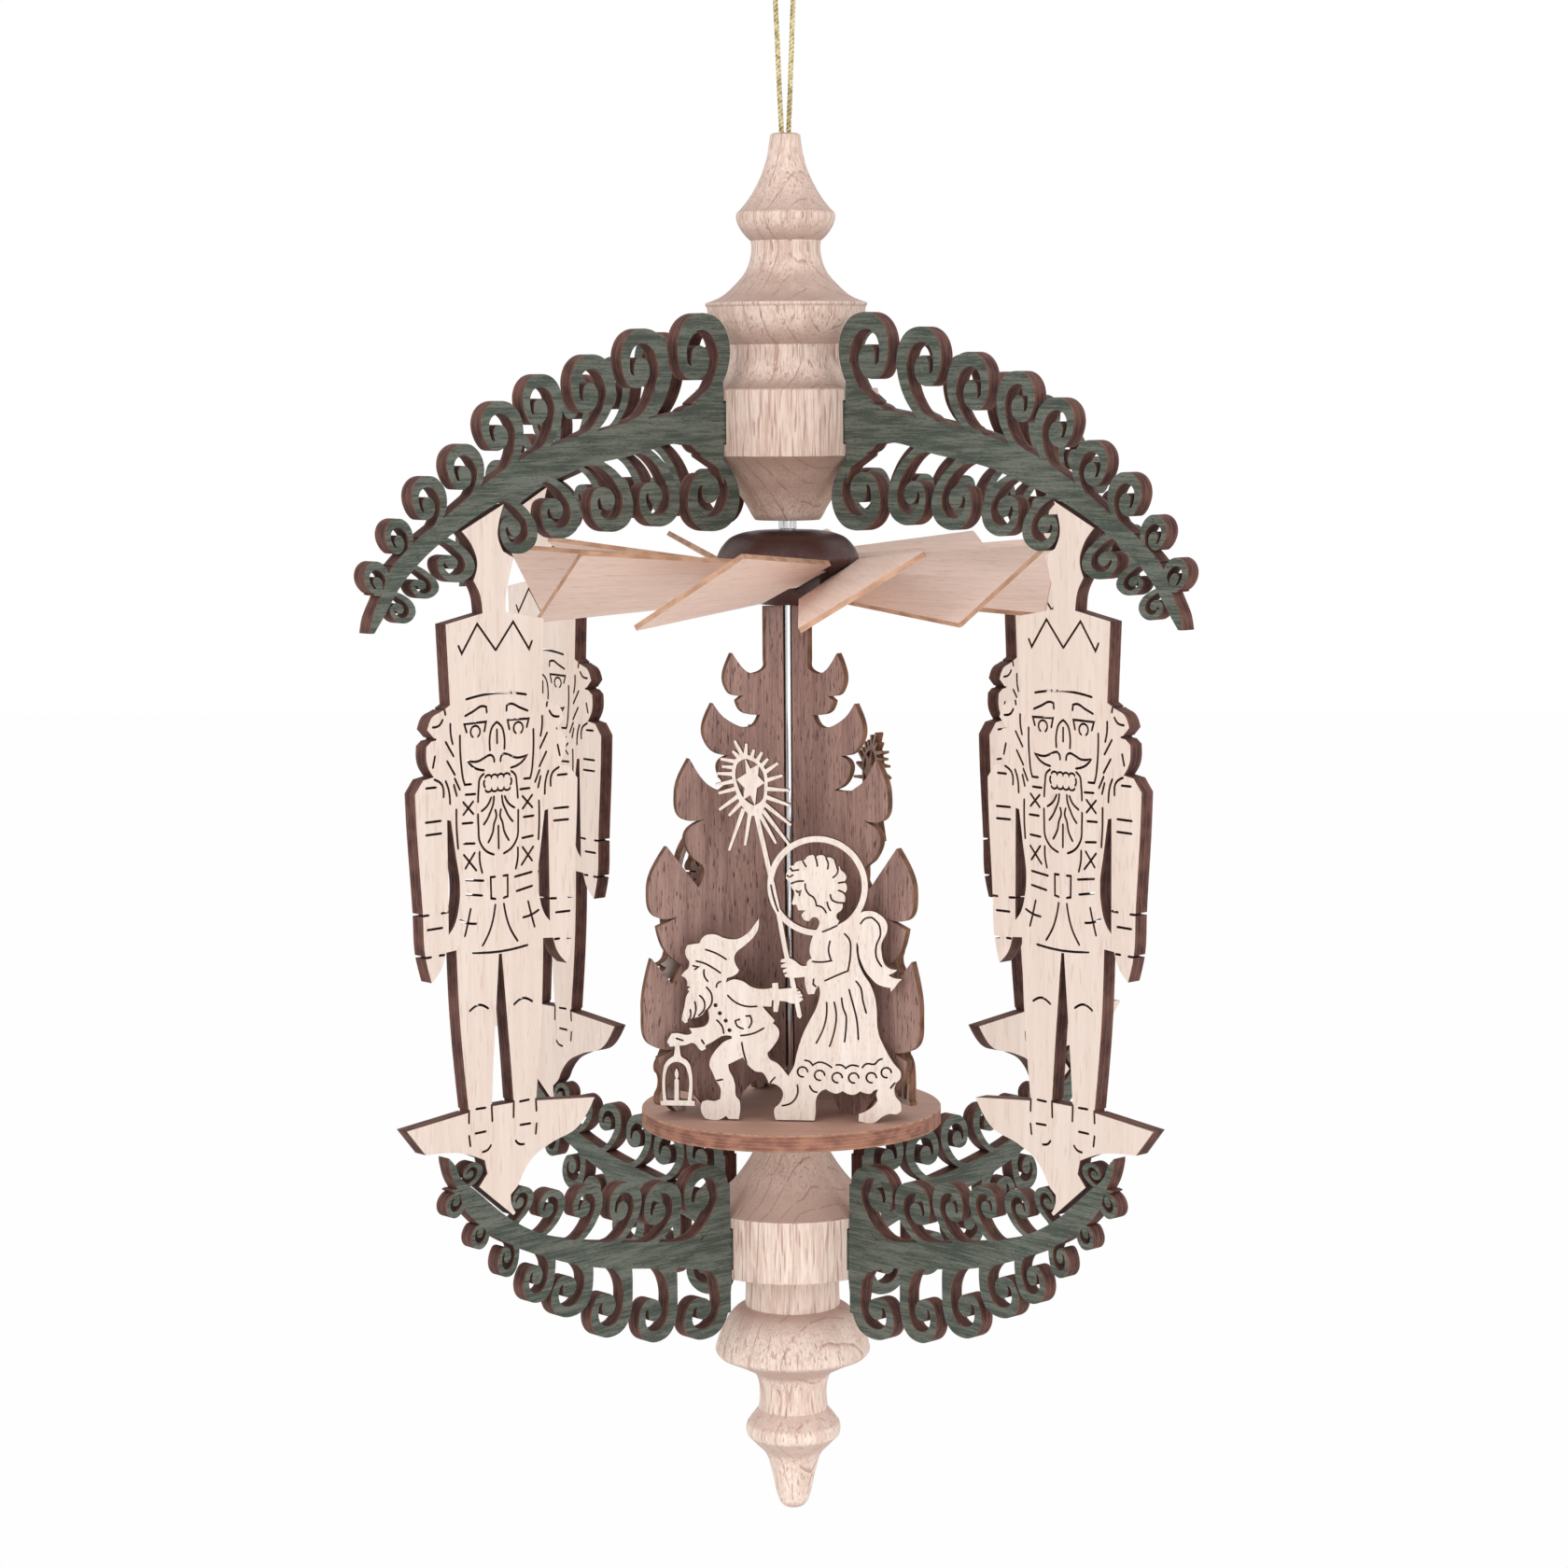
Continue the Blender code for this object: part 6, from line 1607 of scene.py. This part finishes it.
@dataclass
class HangingCord:
    """The gold loop: two strands that rise from the finial, meet at the hook and end in a knot."""

    diameter: float = 1.0 * MM
    loop_radius: float = 2.1 * MM
    knot_radius: float = 1.7 * MM
    strand_shares: Sequence[Point] = ((0.46, 0.82), (0.66, 0.55), (0.86, 0.3), (0.98, 0.14))
    bend_steps: int = 2
    side_steps: int = 3
    threads: int = 3
    lay: float = 2.4 * MM
    rings: int = 420
    thread_sides: int = 8
    thread_fullness: float = 1.06
    knot_strand_share: float = 0.66
    knot_inset_share: float = 0.35
    knot_rise: float = 1.6

    def half_route(self) -> Loop:
        """One strand's own points, as (across, up), from the knot to the top of the bend."""
        offset = (self.diameter + JOINT_GAP) / 2
        knot = FINIAL_TOP - KNOT_DEPTH + JOINT_GAP
        strand = [(offset, knot), (offset, (knot + FINIAL_TOP) / 2), (offset, FINIAL_TOP)]
        strand += [(self.loop_radius * across, FINIAL_TOP * up) for across, up in self.strand_shares]
        bend = self.diameter / 2 - self.loop_radius
        for step in range(self.bend_steps):
            angle = QUARTER_TURN * step / self.bend_steps
            strand.append((self.loop_radius * math.cos(angle), bend + self.loop_radius * math.sin(angle)))
        return strand

    def route(self) -> list[Vector]:
        """The loop's centre line on a smooth curve."""
        strand = self.half_route()
        points = [Vector((-across, 0, up)) for across, up in strand]
        points.append(Vector((0, 0, self.diameter / 2)))
        points += [Vector((across, 0, up)) for across, up in reversed(strand)]
        ends = [points[0] * 2 - points[1]] + points + [points[-1] * 2 - points[-2]]
        smooth = []
        for before, start, end, after in zip(ends, ends[1:], ends[2:], ends[3:]):
            for step in range(self.side_steps):
                t = step / self.side_steps
                smooth.append(start + (end - before) * t / 2
                              + (before * 2 - start * 5 + end * 4 - after) * t * t / 2
                              + (start * 3 - before - end * 3 + after) * t * t * t / 2)
        return smooth + [points[-1]]

    def twist(self, material: bpy.types.Material) -> Recipe:
        """The node tree that lays threads round a path."""
        recipe = Recipe("twisted_cord", {"Path": "Geometry", "Threads": "Int", "Lay": "Float",
                                         "Thread radius": "Float", "Twist radius": "Float"})
        given = recipe.given
        curve = recipe.add("GeometryNodeMeshToCurve", {}, {0: given["Path"]}).outputs[0]
        fine = recipe.add("GeometryNodeResampleCurve", {}, {"Curve": curve, "Count": self.rings}).outputs[0]
        copies = recipe.add("GeometryNodeDuplicateElements", {"domain": "SPLINE"}, {
            "Geometry": fine, "Amount": given["Threads"]})
        length = Number(recipe, recipe.add("GeometryNodeSplineParameter").outputs["Length"])
        turn = Number(recipe, copies.outputs["Duplicate Index"]) / recipe.number("Threads")
        angle = (turn + length / recipe.number("Lay")) * FULL_TURN
        normal = recipe.add("GeometryNodeInputNormal").outputs[0]
        tangent = recipe.add("GeometryNodeInputTangent").outputs[0]
        outward = recipe.add("ShaderNodeVectorRotate", {"rotation_type": "AXIS_ANGLE"}, {
            "Vector": normal, "Axis": tangent, "Angle": angle}).outputs[0]
        offset = recipe.add("ShaderNodeVectorMath", {"operation": "SCALE"}, {
            0: outward, "Scale": given["Twist radius"]}).outputs[0]
        laid = recipe.add("GeometryNodeSetPosition", {}, {
            "Geometry": copies.outputs["Geometry"], "Offset": offset}).outputs[0]
        ring = recipe.add("GeometryNodeCurvePrimitiveCircle", {}, {
            "Resolution": self.thread_sides, "Radius": given["Thread radius"]}).outputs[0]
        tube = recipe.add("GeometryNodeCurveToMesh", {}, {
            "Curve": laid, "Profile Curve": ring, "Fill Caps": True}).outputs[0]
        return recipe.end(recipe.painted(recipe.real(tube), material))

    def laid(self, path: Sequence[Vector], diameter: float, material: bpy.types.Material) -> bpy.types.Mesh:
        """Threads twisted round a path, as one plain mesh."""
        line = bpy.data.meshes.new("cord_path")
        line.from_pydata([tuple(spot) for spot in path], [(i, i + 1) for i in range(len(path) - 1)], [])
        reach = 1 + 1 / math.sin(math.pi / self.threads)
        thread = diameter / 2 / reach * self.thread_fullness
        mesh = self.twist(material).run(temporary(line), {
            "Threads": self.threads, "Lay": self.lay, "Thread radius": thread,
            "Twist radius": diameter / 2 - thread})
        mesh.shade_smooth()
        return mesh

    def knot_path(self, steps: int = 60) -> list[Vector]:
        """A trefoil that fills the knot's ball."""
        low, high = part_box("cord_knot")
        middle = (low + high) / 2
        size = (self.knot_radius - self.diameter * self.knot_inset_share) / 3
        turns = (FULL_TURN * step / steps for step in range(steps))
        return [middle + size * Vector((math.sin(t) + 2 * math.sin(2 * t), math.cos(t) - 2 * math.cos(2 * t),
                                        -self.knot_rise * math.sin(3 * t))) for t in turns]

    def build(self, finishes: Finishes) -> None:
        """Make the loop and its knot."""
        strand = self.diameter * self.knot_strand_share
        knot = deliver("knot_turns", self.laid(self.knot_path(), strand, finishes.gold),
                       Body.CAGE, ["cord_knot"])
        path = self.route()
        loop = deliver("gold_loop", self.laid(path, self.diameter, finishes.gold),
                       Body.CAGE, ["hanging_cord"])
        length = sum((end - start).length for start, end in zip(path, path[1:]))


@dataclass
class Studio:
    """Camera, plain soft light, a pale floor and a white surround."""

    lens: float = 82.34
    stand_point: Vector = field(default_factory=lambda: Vector((-1.0 * MM, -675.8 * MM, -85.15 * MM)))
    heading: float = 1.96
    pitch: float = 6.462
    roll: float = -0.38
    floor_level: float = -0.8
    floor_size: float = 14.0
    lamps: Sequence[tuple[str, Sequence[float], float, float]] = (
        ("key", (-0.9, -1.1, 0.5), 0.9, 8.0), ("fill", (1.1, -0.9, 0.3), 0.9, 6.0),
        ("top", (0.1, 0.3, 1.1), 0.8, 1.5), ("low", (0.2, -1.2, -0.6), 0.8, 3.4),
    )
    lamp_target: Sequence[float] = (0, 0, -0.17)
    plain_light: float = 0.76
    floor_glow: float = 0.97

    def camera(self) -> None:
        """Put the camera where the photograph was taken from."""
        data = bpy.data.cameras.new("camera")
        data.lens = self.lens
        camera = bpy.data.objects.new("camera", data)
        bpy.context.scene.collection.objects.link(camera)
        heading = Matrix.Rotation(math.radians(self.heading), 4, "Z")
        tilt = Matrix.Rotation(math.radians(90 - self.pitch), 4, "X")
        roll = Matrix.Rotation(math.radians(self.roll), 4, "Z")
        camera.matrix_world = heading @ Matrix.Translation(self.stand_point) @ tilt @ roll
        bpy.context.scene.camera = camera

    def seen(self, nodes: Nodes) -> Number:
        """1 where a camera, mirror or glass ray arrives."""
        path = nodes.add("ShaderNodeLightPath").outputs
        camera = Number(nodes, path["Is Camera Ray"])
        return nodes.maths("MAXIMUM", camera, nodes.maths(
            "MAXIMUM", Number(nodes, path["Is Glossy Ray"]), Number(nodes, path["Is Transmission Ray"])))

    def surround(self) -> None:
        """A plain light world that looks white."""
        world = bpy.data.worlds.new("surround")
        world.use_nodes = True
        bpy.context.scene.world = world
        nodes = Nodes(world.node_tree)
        background = world.node_tree.nodes["Background"]
        background.inputs["Color"].default_value = (1, 1, 1, 1)
        strength = self.plain_light + (1 - self.plain_light) * self.seen(nodes)
        world.node_tree.links.new(strength.socket, background.inputs["Strength"])

    def floor(self) -> None:
        """A wide pale floor far below the carousel."""
        mesh = bpy.data.meshes.new("floor")
        half = self.floor_size / 2
        corners = [(-half, -half), (half, -half), (half, half), (-half, half)]
        mesh.from_pydata([(x, y, self.floor_level) for x, y in corners], [], [(0, 1, 2, 3)])
        floor = bpy.data.objects.new("floor", mesh)
        bpy.context.scene.collection.objects.link(floor)
        surface = Surface("pale_floor")
        pale = surface.mix(surface.noise(surface.place(), (3, 3, 3)), colour("f4f3f2"), colour("efeeed"))
        surface.finish(pale, 0.8)
        glow = surface.add("ShaderNodeEmission", {}, {"Color": (1, 1, 1, 1)}).outputs[0]
        output = surface.tree.nodes["Material Output"]
        blend = surface.add("ShaderNodeMixShader", {}, {0: self.seen(surface) * self.floor_glow,
                                                        1: surface.shader.outputs[0], 2: glow})
        surface.tree.links.new(blend.outputs[0], output.inputs["Surface"])
        mesh.materials.append(surface.material)

    def lamp(self, name: str, place: Sequence[float], size: float, watts: float) -> None:
        """A square soft lamp that faces the carousel's middle."""
        data = bpy.data.lights.new(name, "AREA")
        data.size = size
        data.energy = watts
        lamp = bpy.data.objects.new(name, data)
        bpy.context.scene.collection.objects.link(lamp)
        lamp.location = place
        way = Vector(self.lamp_target) - Vector(place)
        lamp.rotation_euler = way.to_track_quat("-Z", "Y").to_euler()

    def build(self) -> None:
        """Set up the studio."""
        self.camera()
        self.surround()
        self.floor()
        for name, place, size, watts in self.lamps:
            self.lamp(name, place, size, watts)
        bpy.context.scene.view_settings.view_transform = "Standard"


def main() -> None:
    """Build every sub-assembly in order."""
    logging.basicConfig(level=logging.INFO, format="%(name)s: %(message)s")
    Studio().build()
    finishes = Finishes()
    HangingCord().build(finishes)
    TurnedBodies().build(finishes)
    Bearings().build(finishes)
    upper_branch().build(finishes)
    lower_branch().build(finishes)
    Nutcracker().build(finishes)
    Carrier().build(finishes)
    Fan().build(finishes)
    stage = Stage()
    stage.build_trees(finishes)
    stage.build_figures(finishes)


if __name__ == "__main__":
    main()
